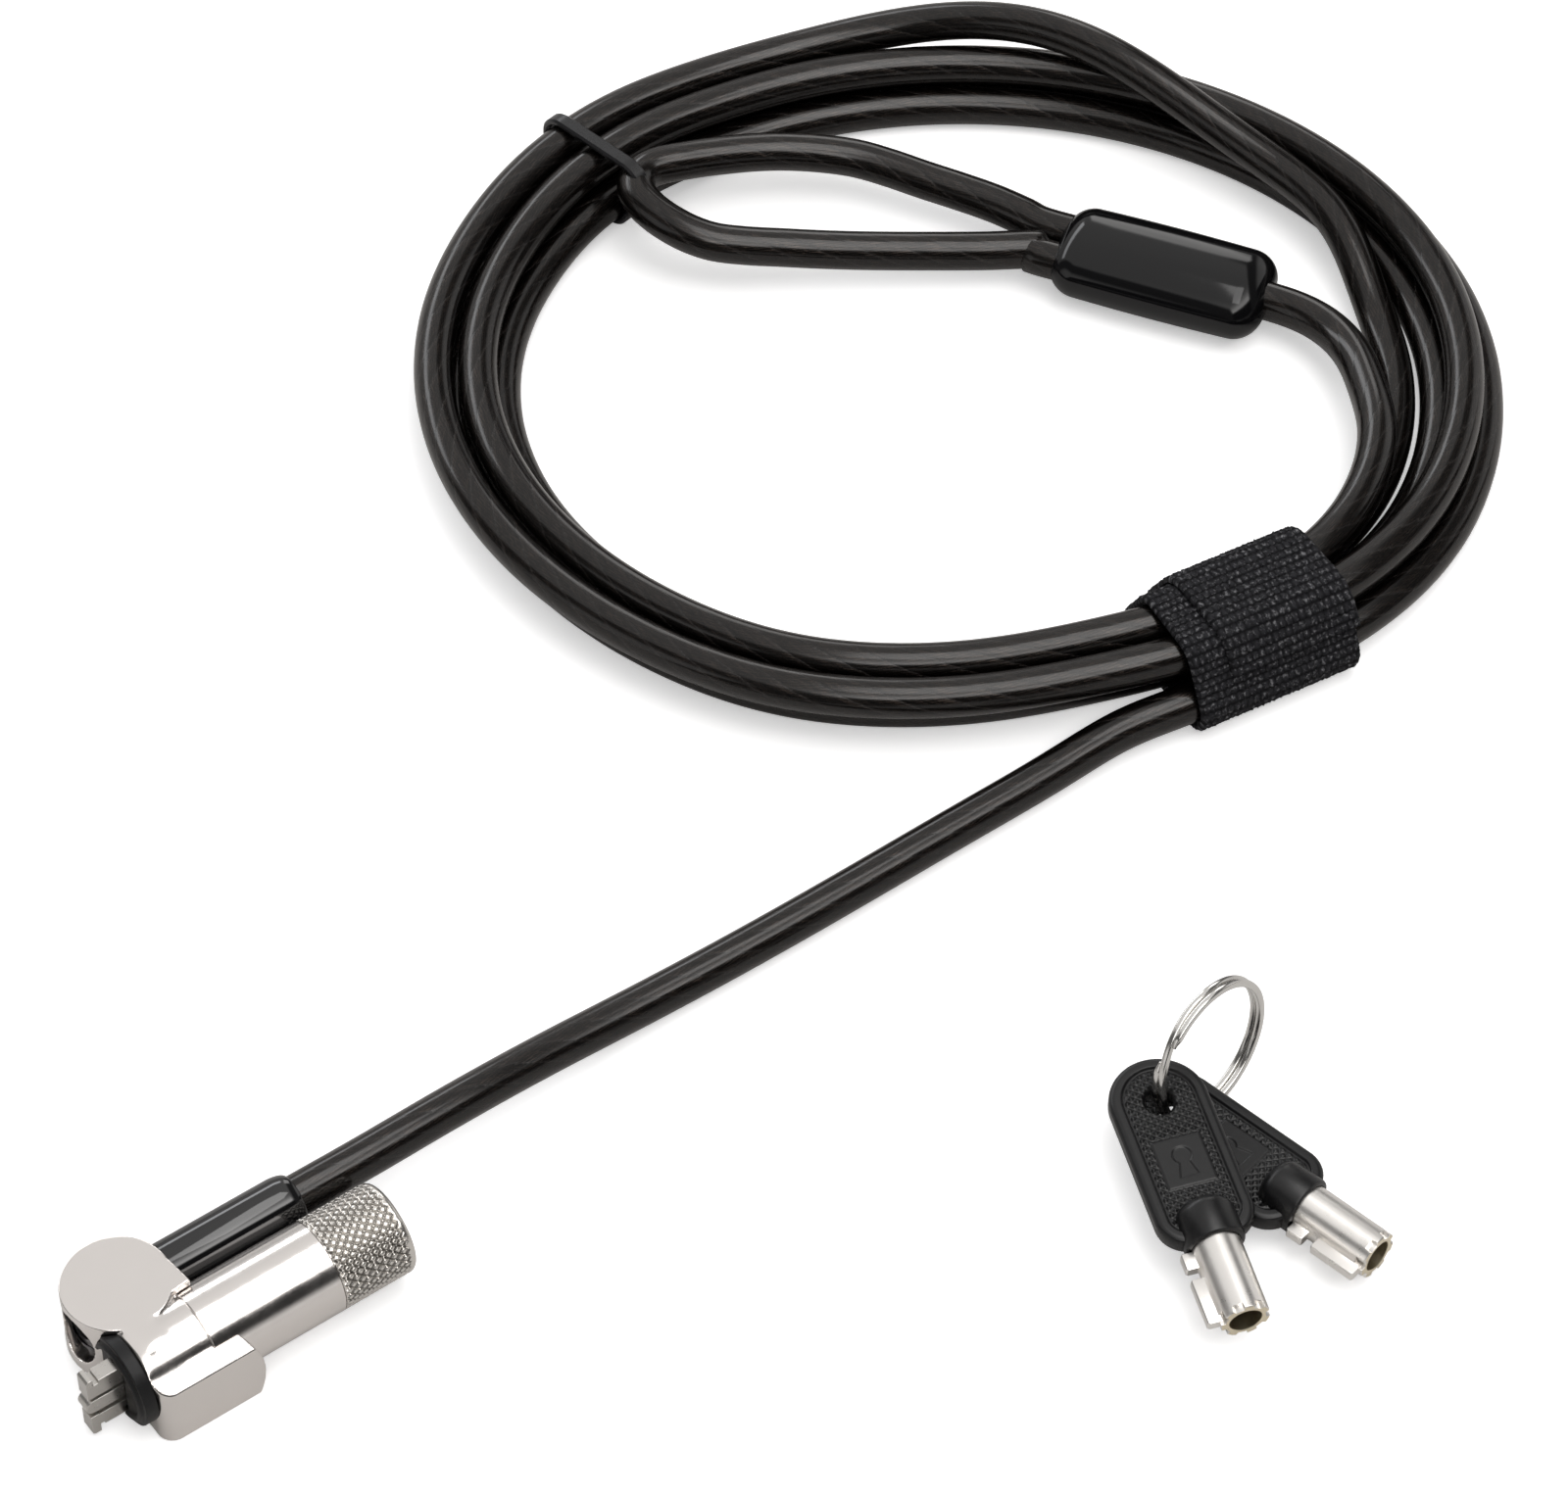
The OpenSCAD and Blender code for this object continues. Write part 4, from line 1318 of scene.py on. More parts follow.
def hull_outline(circles: Sequence[Point], count: int) -> tuple[Array, Array]:
    """The outline round circles, like a band drawn tight.

    Args:
        circles: Centre and radius of each circle.
        count: How many points the outline gets, at even distances.

    Returns:
        The points, and the outward normal at each.
    """
    samples = 720
    angles = np.arange(samples) * TAU / samples
    best = [
        max(circles, key=lambda c: c[0] * math.cos(a) + c[1] * math.sin(a) + c[2]) for a in angles
    ]
    points = np.array(
        [(x + r * math.cos(a), y + r * math.sin(a)) for (x, y, r), a in zip(best, angles)]
    )
    loop = np.vstack([points, points[:1]])
    normal_angles = np.append(angles, TAU)
    along = distances(loop)
    at = np.arange(count) * along[-1] / count
    out = np.stack([np.interp(at, along, loop[:, i]) for i in range(2)], axis=1)
    turn = np.interp(at, along, normal_angles)
    return out, np.stack([np.cos(turn), np.sin(turn)], axis=1)


@dataclass
class StrapBand:
    """The woven hook and loop strap round the bundle."""

    route: CoilRoute = field(default_factory=CoilRoute)
    width: float = 24.5
    layer: float = 1.2
    bow: float = 1.1
    overlap: tuple[float, float] = (0.03, 0.47)
    skew: float = 1.2
    lip: float = 0.35
    way_round: float = 60.0
    points: int = 300
    rows: int = 110
    fuzz: float = 0.07

    def circles(self, grow: float) -> list[Point]:
        """The strands' circles, swollen by a distance.

        Args:
            grow: How far they are swollen, in millimetres.

        Returns:
            The centre and radius of each.
        """
        p = self.route.pitch
        low = self.route.diameter / 2 + self.route.strap_lift
        high = low + p * math.sin(math.radians(60))
        r = self.route.diameter / 2 + 0.15 + grow
        return [
            (0, low, r), (2 * p + self.bow, low, r), (p / 2, high, r), (1.5 * p + self.bow, high, r)
        ]

    def band(self, name: str, base: float, thick: float, span: tuple[float, float],
             width: tuple[float, float], skew: float = 0.0) -> bpy.types.Object:
        """One layer of the strap.

        Args:
            name: The object's name.
            base: Distance from the strands to the layer's inside, in millimetres.
            thick: The layer's thickness.
            span: The share of the way round where it starts and ends.
            width: Where it starts and ends along the cables.
            skew: How far its two edges shift along the cables from start to end.

        Returns:
            The layer, with metres round and along it in a UV map.
        """
        outline, normal = hull_outline(self.circles(base), self.points)
        full = span[1] - span[0] >= 0.999
        count = self.points if full else int(self.points * (span[1] - span[0]))
        index = (np.arange(count) + int(span[0] * self.points)) % self.points
        shift = skew * (np.arange(count) / max(1, count - 1) - 0.5)
        profile = self.profile(thick, width)
        lint = np.random.default_rng(5).normal(0.0, self.fuzz, (len(profile), count))
        rows = []
        for (along, out), fuzz in zip(profile, lint):
            height = out + fuzz * (out > thick * 0.5)
            xy = outline[index] + normal[index] * height[:, None]
            rows.append(np.column_stack([xy, along + shift]))
        faces = band_faces(len(profile), count, full)
        if not full:
            faces += [tuple(i * count + end for i in range(len(profile))) for end in (0, count - 1)]
        obj = new_object(name, np.array(rows).reshape(-1, 3) * MM, faces)
        self.map_band(obj, count)
        return obj

    def map_band(self, obj: bpy.types.Object, count: int) -> None:
        """Writes the metres round the band and across it into the UV map.

        Args:
            obj: The band.
            count: How many points a row round the bundle has.
        """
        uv = obj.data.uv_layers.new(name="weave")
        step = self.way_round * MM / self.points
        for poly in obj.data.polygons:
            columns = [v % count for v in poly.vertices]
            wrap = max(columns) - min(columns) > count / 2
            for loop, v, j in zip(poly.loop_indices, poly.vertices, columns):
                turn = count if wrap and j < count / 2 else 0
                uv.data[loop].uv = ((j + turn) * step, obj.data.vertices[v].co.z)

    def profile(self, thick: float, width: tuple[float, float]) -> list[tuple[float, float]]:
        """Inside, edge and outside of a layer, as places along the cables and heights.

        Args:
            thick: The layer's thickness.
            width: Where it starts and ends along the cables.

        Returns:
            Pairs of a place along the cables and a height, in millimetres.
        """
        (low, high), lip = width, self.lip
        out = [(low + lip, 0.0), (low, thick * 0.35), (low + 0.08, thick * 0.75)]
        for k in range(self.rows + 1):
            t = k / self.rows
            rib = 0.06 * math.sin(TAU * t * (high - low) / 0.95)
            out.append((low + lip + t * (high - low - 2 * lip), thick + rib))
        return out + [(high - 0.08, thick * 0.75), (high, thick * 0.35), (high - lip, 0.0)]

    def build(self) -> bpy.types.Object:
        """The strap: the inner layer all round and the overlap on top of it.

        Returns:
            The dressed strap.
        """
        half = self.width / 2
        inner = self.band("strap_inner", 0.0, self.layer, (0, 1), (-half, half))
        outer = self.band(
            "strap_outer", self.layer + 0.05, self.layer * 0.85, self.overlap,
            (-half + 4.6, half - 0.2), self.skew,
        )
        strap = joined("hook_loop_band", [inner, outer])
        self.route.stand(strap, 0, -self.route.strap_sway)
        set_shade(strap, Shade.BY_ANGLE, 50)
        LOG.info("strap built")
        return STRAP.show(strap, "cable", "hook_loop_strap")


@dataclass
class TieBand:
    """The thin band that ties the end loop to the coil."""

    route: CoilRoute = field(default_factory=CoilRoute)
    width: float = 2.2
    thick: float = 1.0
    loop_in: float = 9.3
    loop_z: float = 9.6
    edge: float = 0.3
    points: int = 240

    def build(self) -> bpy.types.Object:
        """A flat band with rounded edges, drawn tight round the strands.

        Returns:
            The dressed band.
        """
        p, d = self.route.pitch, self.route.diameter
        low = d / 2 + self.route.tie_lift
        r = d / 2 + 0.15
        circles = [(-p / 2, low + p * math.sin(math.radians(60)), r), (0, low, r), (p, low, r),
                   (self.loop_in, self.loop_z, r)]
        outline, normal = hull_outline(circles, self.points)
        half, edge, top = self.width / 2, self.edge, self.thick
        rim = [
            (-half + edge, 0), (-half, edge), (-half, top - edge), (-half + edge, top), (0, top),
            (half - edge, top), (half, top - edge), (half, edge), (half - edge, 0),
        ]
        rows = [
            np.column_stack([outline + normal * out, np.full(self.points, along)])
            for along, out in rim
        ]
        faces = band_faces(len(rim), self.points, True)
        tie = new_object("tie_loop", np.array(rows).reshape(-1, 3) * MM, faces, Shade.BY_ANGLE)
        self.route.stand(tie, self.route.tie_angle, 0)
        return TIE.show(tie, "cable", "tie_band")


# ---- Lock head and barrel ------------------------------------------------


@dataclass
class LockHead:
    """The head casting, its rubber pad, the hooks and what shows of the pivot."""

    voxel: float = 0.11 * MM
    passes: int = 7
    lobe: tuple[float, float] = (-2.3, 8.4)
    wall: tuple[float, float] = (6.0, 6.93)
    wall_span: tuple[float, float] = (128.0, 204.0)
    window: tuple[float, float, float] = (185.0, 3.2, 4.1)
    window_z: float = 8.1
    blend: Point = (-3.3, -1.4, 12.6)

    def build(self) -> None:
        """Builds and dresses the head."""
        casting = rounded_copy(
            "head_casting", "head_shell", self.voxel, self.passes, prepare=self.move_window
        )
        melt(casting, self.blend, 4.4, 320)
        set_shade(casting, Shade.SMOOTH)
        NICKEL.show(casting, "head", "head_casting")
        for node, name, body, finish, voxel, passes in (
            ("front_pad", "nose_pad", "head", PAD_RUBBER, 0.09, 8),
            ("upper_hook", "upper_hook_steel", "upper_hook", STEEL, 0.05, 4),
            ("lower_hook", "lower_hook_steel", "lower_hook", STEEL, 0.05, 4),
            ("slide_blade", "slide_blade_steel", "blade", STEEL, 0.05, 4),
        ):
            piece = rounded_copy(node, name, voxel * MM, passes)
            set_shade(piece, Shade.SMOOTH)
            finish.show(piece, body, node)
        for node, finish in (
            ("hook_pins", STEEL), ("pivot_pins", STEEL), ("trunnion_block", DARK_STEEL),
            ("swivel_stud", STEEL), ("lock_core", STEEL), ("drive_cam", BRASS),
            ("pin_housing", BRASS), ("retaining_clip", DARK_STEEL), ("driver_pins", STEEL),
            ("key_pins", BRASS), ("pin_springs", DARK_STEEL),
        ):
            finish.dress(bpy.data.objects[node])
        LOG.info("head built")

    def move_window(self, casting: bpy.types.Object) -> bpy.types.Object:
        """Closes the side of the lobe and opens an upright oval window in its front.

        Args:
            casting: The copy of the casting's node.

        Returns:
            The casting with its new window.
        """
        x, y = self.lobe
        azimuth, half_width, half_height = self.window
        near, far = self.wall
        corners = ((near, 2.6), (far, 2.6), (far, 13.0), (near, 13.0))
        rings = [
            [(x + r * math.cos(a), y + r * math.sin(a), z) for r, z in corners]
            for a in np.radians(np.linspace(*self.wall_span, 39))
        ]
        wall = loft("lobe_wall", np.array(rings) * MM)
        turn = np.linspace(0, TAU, 64, endpoint=False)
        oval = [
            np.column_stack([np.full(64, r), half_width * np.cos(turn), half_height * np.sin(turn)])
            for r in (4.6, 9.5)
        ]
        cutter = loft("window_cutter", np.array(oval) * MM)
        spin = Matrix.Rotation(math.radians(azimuth), 4, "Z")
        place(cutter, Matrix.Translation((x * MM, y * MM, self.window_z * MM)) @ spin)
        for obj in (casting, wall):
            cut = obj.modifiers.new("window", "BOOLEAN")
            cut.operation, cut.solver, cut.object = "DIFFERENCE", "EXACT", cutter
            applied(obj)
        bpy.data.objects.remove(cutter)
        return joined(casting.name, [casting, wall])


@dataclass
class LockBarrel:
    """The polished barrel with its knurled ring and the ferrule beside it."""

    seam_x: float = 3.0
    smooth_end: float = 21.0
    end_x: float = 31.5
    knurl_count: int = 32
    knurl_depth: float = 0.42
    ferrule_x: float = 2.5
    ferrule_r: float = 3.6
    ferrule_length: float = 21.5

    def build(self) -> None:
        """Builds and dresses the barrel, the knurl and the ferrule."""
        self.build_barrel()
        self.build_knurl()
        self.build_ferrule()
        LOG.info("barrel built")

    def build_barrel(self) -> None:
        """The smooth sleeve, with a fine step at the seam and a bore for the key."""
        r, x0, x1, x2 = BARREL_R / MM, self.seam_x, self.smooth_end, self.end_x - 0.3
        lip, bore, deep = 0.12, 3.3, 24.0
        profile = [
            (x0 - 2, r - 1.6), (x0 - 2, r - 0.9), (x0, r - 0.9), (x0, r - lip), (x0 + lip, r),
            (x1 - lip, r), (x1, r - lip), (x1, r - 1), (x2, r - 1), (x2, bore + lip),
            (x2 - lip, bore), (deep, bore), (deep, r - 1.6),
        ]
        obj = turned("barrel_sleeve", [(x * MM, y * MM) for x, y in profile], 128, closed=True)
        place(obj, Matrix.Translation((0, 0, BARREL_Z)))
        NICKEL.show(obj, "head", "lock_barrel")

    def build_knurl(self) -> None:
        """The ring's diamond knurl, as real pyramids between crossed grooves."""
        columns, rows, radius = self.knurl_count * 12, 132, BARREL_R / MM
        x0, x1 = self.smooth_end, self.end_x
        turn = np.arange(columns) / columns
        gx, gt = np.meshgrid(np.linspace(x0, x1, rows), turn, indexing="ij")
        along = (gx - x0) / (TAU * radius / self.knurl_count * 1.12)
        one, two = (np.abs((gt * self.knurl_count + v) % 1 - 0.5) * 2 for v in (along, -along))
        height = np.clip((1 - np.maximum(one, two)) * 2.1, 0, 1)
        fade = smooth_array(x0, x0 + 0.5, gx) * (1 - smooth_array(x1 - 1.4, x1 - 0.7, gx))
        edge = np.clip((gx - (x1 - 0.9)) / 0.9, 0, 1)
        r = radius - self.knurl_depth * (1 - height) * fade
        skin = ring_points(gx, r - 0.9 * (1 - np.sqrt(1 - edge**2 * 0.97)), gt * TAU)
        inner = np.array([ring_points(x, 5.2, turn * TAU) for x in (x1, x0)])
        obj = loft("knurled_grip", np.concatenate([skin, inner, skin[:1]]) * MM, capped=False)
        set_shade(obj, Shade.BY_ANGLE, 40)
        place(obj, Matrix.Translation((0, 0, BARREL_Z)))
        KNURL.show(obj, "head", "knurled_ring")

    def build_ferrule(self) -> None:
        """The glossy sleeve, drawn in over the cable with a rolled rim."""
        x0, x1, r = self.ferrule_x, self.ferrule_x + self.ferrule_length, self.ferrule_r
        rim, mouth, bore, stud = 2.6, 2.86, 2.8, 2.05
        profile = [(x0, stud), (x0, r - 0.35), (x0 + 0.1, r - 0.1), (x0 + 0.35, r)]
        for a in np.linspace(0, math.pi / 2, 15)[1:]:
            profile.append((x1 - rim + rim * math.sin(a), mouth + (r - mouth) * math.cos(a)))
        profile += [(x1 - 0.3, bore), (x0 + 7.4, bore), (x0 + 7.4, stud)]
        obj = turned("ferrule_shell", [(x * MM, y * MM) for x, y in profile], 96, closed=True)
        place(obj, Matrix.Translation((0, CABLE_Y, CABLE_Z)))
        SLEEVE.show(obj, "cable", "ferrule_sleeve")


# ---- Keys ----------------------------------------------------------------


@dataclass
class Key:
    """A tubular key: a moulded bow on a hollow tube."""

    body: str
    hole: Point
    turn: float
    tilt: float
    bow_width: float = 12.7
    bow_length: float = 27.2
    bow_thick: float = 2.8
    corner: float = 4.0
    hole_r: float = 1.8
    tube_r: float = 3.2
    bore_r: float = 2.1
    tube_reach: float = 11.5
    collar_length: float = 6.2
    diamond: float = 1.12
    field_x: float = 9.3
    grid: float = 0.11

    @property
    def root(self) -> float:
        """Where the bow ends and the tube starts."""
        return self.bow_length - self.bow_width / 2

    @property
    def tip(self) -> float:
        """The tube's far end."""
        return self.root + self.tube_reach

    def matrix(self) -> Matrix:
        """From the key's own frame, in millimetres, to the row frame.

        Returns:
            The matrix.
        """
        turn = Matrix.Rotation(math.radians(self.turn), 4, "Z")
        tilt = Matrix.Rotation(math.radians(self.tilt), 4, "Y")
        return Matrix.Translation(Vector(self.hole) * MM) @ turn @ tilt @ Matrix.Scale(MM, 4)

    def edge_distance(self, x: Array, y: Array) -> Array:
        """Distance inside the bow's outline, below 0 outside.

        Args:
            x: Places along the key.
            y: Places across it.

        Returns:
            The distances, in millimetres.
        """
        r, c, end = self.bow_width / 2, self.corner, self.root
        round_end = np.where(x < 0, r - np.hypot(x, y), r - np.abs(y))
        dx, dy = x - (end - c), np.abs(y) - (r - c)
        straight = np.minimum(end - x, r - np.abs(y))
        corner = np.where((dx > 0) & (dy > 0), c - np.hypot(dx, dy), straight)
        return np.where(x < 0, round_end, corner)

    def face_height(self, x: Array, y: Array, d: Array) -> Array:
        """Height of the bow's broad face over its middle plane.

        Args:
            x: Places along the key.
            y: Places across it.
            d: Their distance inside the outline.

        Returns:
            The height at each place: a rounded rim, a sunken panel with a
            diamond texture, a plain raised field and a swelling for the tube.
        """
        half = self.bow_thick / 2
        rim = half - 0.75 * (1 - np.sqrt(1 - (1 - np.clip(d / 0.9, 0, 1)) ** 2))
        sunk = half - 0.34 * smooth_array(1.45, 1.75, d)
        u, v = (x + y * 0.82) / self.diamond, (x - y * 0.82) / self.diamond
        texture = 0.4 * (1 - np.maximum(np.abs(u % 1 - 0.5), np.abs(v % 1 - 0.5)) * 2)
        panel = smooth_array(1.9, 2.15, d)
        around_hole = smooth_array(self.hole_r + 0.25, self.hole_r + 0.6, np.hypot(x, y))
        field_gap = np.maximum(np.abs(x - self.field_x) - 3.7, np.abs(y) - 3.3)
        plain = 1 - smooth_array(0.0, 0.25, field_gap)
        groove = np.exp(-((field_gap / 0.16) ** 2)) * 0.2
        height = np.minimum(rim, sunk) + texture * panel * (1 - plain) * around_hole
        return height + (0.22 * plain - groove) * panel - self.emblem(x - self.field_x, y) * 0.16

    def emblem(self, x: Array, y: Array) -> Array:
        """A plain keyhole shape in the raised field, 1 inside it.

        Args:
            x: Places along the key, from the field's middle.
            y: Places across it.

        Returns:
            1 inside the shape and 0 outside it, with a soft edge.
        """
        disc = 1 - smooth_array(1.15, 1.3, np.hypot(x + 0.9, y))
        foot_width = 0.55 + 0.28 * np.clip(x, 0, 3)
        foot = (1 - smooth_array(0, 0.14, np.abs(y) - foot_width)) * smooth_array(-0.8, -0.5, x)
        foot = foot * (1 - smooth_array(2.2, 2.35, x))
        return np.maximum(disc, foot)

    def build_bow(self) -> bpy.types.Object:
        """The bow as two sculpted faces that meet in a rounded rim.

        Returns:
            The bow, in the key's own frame.
        """
        step, near = self.grid, self.grid * 0.72
        xs = np.arange(-self.bow_width / 2 - 0.05, self.root + 0.06, step)
        ys = np.arange(-self.bow_width / 2 - 0.05, self.bow_width / 2 + 0.06, step)
        gx, gy = np.meshgrid(xs, ys, indexing="ij")
        sx, sy = self.snap(gx, gy, near)
        d = np.clip(self.edge_distance(sx, sy), 0, None)
        inside = (self.edge_distance(gx, gy) > -near) & (np.hypot(gx, gy) > self.hole_r - near)
        hole = np.clip(np.hypot(sx, sy) - self.hole_r, 0, None)
        height = self.face_height(sx, sy, d) - 0.5 * np.clip(1 - hole / 0.5, 0, 1) ** 2
        verts, faces, index = [], [], -np.ones(gx.shape, int)
        for i, j in zip(*np.nonzero(inside)):
            index[i, j] = len(verts)
            verts.append((sx[i, j], sy[i, j], height[i, j]))
        top = len(verts)
        verts += [(x, y, -z) for x, y, z in verts]
        edges: dict[tuple[int, int], None] = {}
        for i in range(len(xs) - 1):
            for j in range(len(ys) - 1):
                quad = [index[i, j], index[i + 1, j], index[i + 1, j + 1], index[i, j + 1]]
                if min(quad) < 0:
                    continue
                faces.append(tuple(quad))
                faces.append(tuple(k + top for k in reversed(quad)))
                edges.update(dict.fromkeys(zip(quad, quad[1:] + quad[:1])))
        faces += [(b, a, a + top, b + top) for a, b in edges if (b, a) not in edges]
        bow = new_object(f"{self.body}_bow_plate", verts, faces)
        with edited(bow.data) as work:
            loose = [v for v in work.verts if not v.link_faces]
            bmesh.ops.delete(work, geom=loose, context="VERTS")
            bmesh.ops.recalc_face_normals(work, faces=work.faces)
        set_shade(bow, Shade.BY_ANGLE, 55)
        return bow

    def snap(self, x: Array, y: Array, near: float) -> tuple[Array, Array]:
        """Moves the grid's outermost points onto the outline and the hole's wall.

        Args:
            x: Places along the key.
            y: Places across it.
            near: How near to a line a point has to be to be moved onto it.

        Returns:
            The new places along and across the key.
        """
        sx, sy, e = x.copy(), y.copy(), 1e-4
        for _ in range(3):
            d = self.edge_distance(sx, sy)
            nx = (self.edge_distance(sx + e, sy) - d) / e
            ny = (self.edge_distance(sx, sy + e) - d) / e
            move = np.where(d < near, -d, 0)
            sx, sy = sx + nx * move, sy + ny * move
        r = np.hypot(sx, sy)
        scale = np.where(np.abs(r - self.hole_r) < near, self.hole_r / np.maximum(r, 1e-6), 1)
        return sx * scale, sy * scale

    def build_collar(self) -> bpy.types.Object:
        """The swelling that holds the tube.

        Returns:
            The collar, in the key's own frame.
        """
        root, length, r, dome = self.root, self.collar_length, 3.95, 2.2
        start = root - length + 0.4
        profile = [(start, 0.0)]
        for a in np.linspace(0, math.pi / 2, 11)[1:]:
            profile.append((start + dome * (1 - math.cos(a)), r * math.sin(a) ** 0.8))
        profile += [(root + 0.15, r), (root + 0.42, r - 0.1), (root + 0.58, r - 0.35),
                    (root + 0.6, 3.3), (root + 0.1, 3.2), (root + 0.1, 0.0)]
        return turned(f"{self.body}_collar", profile, 72)

    def build_tube(self) -> bpy.types.Object:
        """The tube's plated outside with its fins, and its brass-toned inside.

        Returns:
            The dressed tube, in the key's own frame.
        """
        columns, r0, r1, notch = 168, self.bore_r, self.tube_r, 0.62
        root, tip = self.root, self.tip
        a = np.arange(columns) * TAU / columns
        cut = np.zeros(columns)
        for k in range(7):
            centre = math.radians(110) + k * TAU / 7
            near = np.abs((a - centre + math.pi) % TAU - math.pi) < 0.235
            cut = np.maximum(cut, np.where(near, 0.8 + 0.5 * (k % 3), 0))
        start = tip - np.maximum(cut, 0.12)
        rows = [ring_points(x, r1, a) for x in (root - 0.5, root + 2, root + 6, start - 0.02)]
        for x, r in ((start, r1), (tip - 0.12, r1), (tip, r1 - 0.1)):
            rows.append(ring_points(x, np.where(cut > 0, r1 - notch, r), a))
        plated = loft(f"{self.body}_tube_skin", np.array(rows), capped=False)
        lip = ((tip, r0 + 0.08), (tip - 0.08, r0), (tip - 7.4, r0), (tip - 7.5, 0.02))
        bore = np.array([rows[-1], *(ring_points(x, r, a) for x, r in lip)])
        inside = loft(f"{self.body}_tube_bore", bore, capped=False)
        for obj, finish in ((plated, KEY_NICKEL), (inside, KEY_BRASS)):
            set_shade(obj, Shade.BY_ANGLE, 30)
            finish.dress(obj)
        fins = [self.fin(root + 0.8, root + 3.2), self.fin(root + 4.6, tip - 0.4)]
        for fin in fins:
            KEY_NICKEL.dress(fin)
        return joined(f"{self.body}_tube_metal", [plated, inside, *fins])

    def fin(self, x0: float, x1: float) -> bpy.types.Object:
        """A flat lug on the tube's side, with small bevels.

        Args:
            x0: Where it starts along the key.
            x1: Where it ends.

        Returns:
            The lug, in the key's own frame.
        """
        y0, y1, half, b = self.tube_r - 0.4, self.tube_r + 1.6, 0.7, 0.18
        section = [
            (y0, -half), (y1 - b, -half), (y1, b - half), (y1, half - b), (y1 - b, half), (y0, half)
        ]
        rings = [
            [(x, inset * (y > y0 + 0.1) - y, z * (1 - inset * 0.5)) for y, z in section]
            for x, inset in ((x0, b), (x0 + b, 0), (x1 - b, 0), (x1, b))
        ]
        return loft(f"{self.body}_fin", np.array(rings), shade=Shade.BY_ANGLE)

    def build(self) -> None:
        """Builds and dresses the key."""
        grip = joined(f"{self.body}_grip", [self.build_bow(), self.build_collar()])
        place(grip, self.matrix())
        BOW.show(grip, self.body, f"{self.body}_bow")
        tube = self.build_tube()
        place(tube, self.matrix())
        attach(tube, self.body)
        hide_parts(f"{self.body}_tube")
        LOG.info("%s built", self.body)


@dataclass
class SplitRing:
    """The steel ring that holds the keys, wound in two turns with stepped ends."""

    centre: tuple[float, float] = (127.95, -39.67)
    turn: float = 12.0
    lean: float = 7.0
    radius: float = 9.6
    width: float = 1.9
    thick: float = 1.0

    def build(self) -> bpy.types.Object:
        """Sweeps a flattened wire through two turns, side by side.

        Returns:
            The dressed ring.
        """
        steps, start, total = 420, math.radians(150), 2 * TAU - math.radians(14)
        wire_w, wire_t = self.width / 2 - 0.04, self.thick
        section = [
            (boxed(math.cos(a), 0.6) * wire_t / 2, boxed(math.sin(a), 0.6) * wire_w / 2)
            for a in np.arange(20) * TAU / 20
        ]
        rings = []
        for k in range(steps + 1):
            t = k / steps
            a = start + total * t
            side = (smooth(0.44, 0.56, t) - 0.5) * (self.width / 2 + 0.02)
            taper = 1 - 0.55 * (1 - smooth(0, 0.012, min(t, 1 - t)))
            ring = []
            for dr, dw in section:
                r = self.radius + dr * taper
                ring.append((r * math.cos(a), r * math.sin(a), side + dw * taper))
            rings.append(ring)
        obj = loft("key_ring_wire", np.array(rings) * MM)
        lean = math.radians(self.lean)
        height = (self.radius + self.thick / 2) * math.cos(lean) + self.width / 2 * math.sin(lean)
        place(obj, Matrix.Rotation(math.pi / 2 - lean, 4, "X"))
        place(obj, Matrix.Rotation(math.radians(self.turn), 4, "Z"))
        place(obj, Matrix.Translation(Vector((*self.centre, height)) * MM))
        LOG.info("ring built")
        return RING_STEEL.show(obj, "split_ring", "split_ring")


# ---- Studio --------------------------------------------------------------


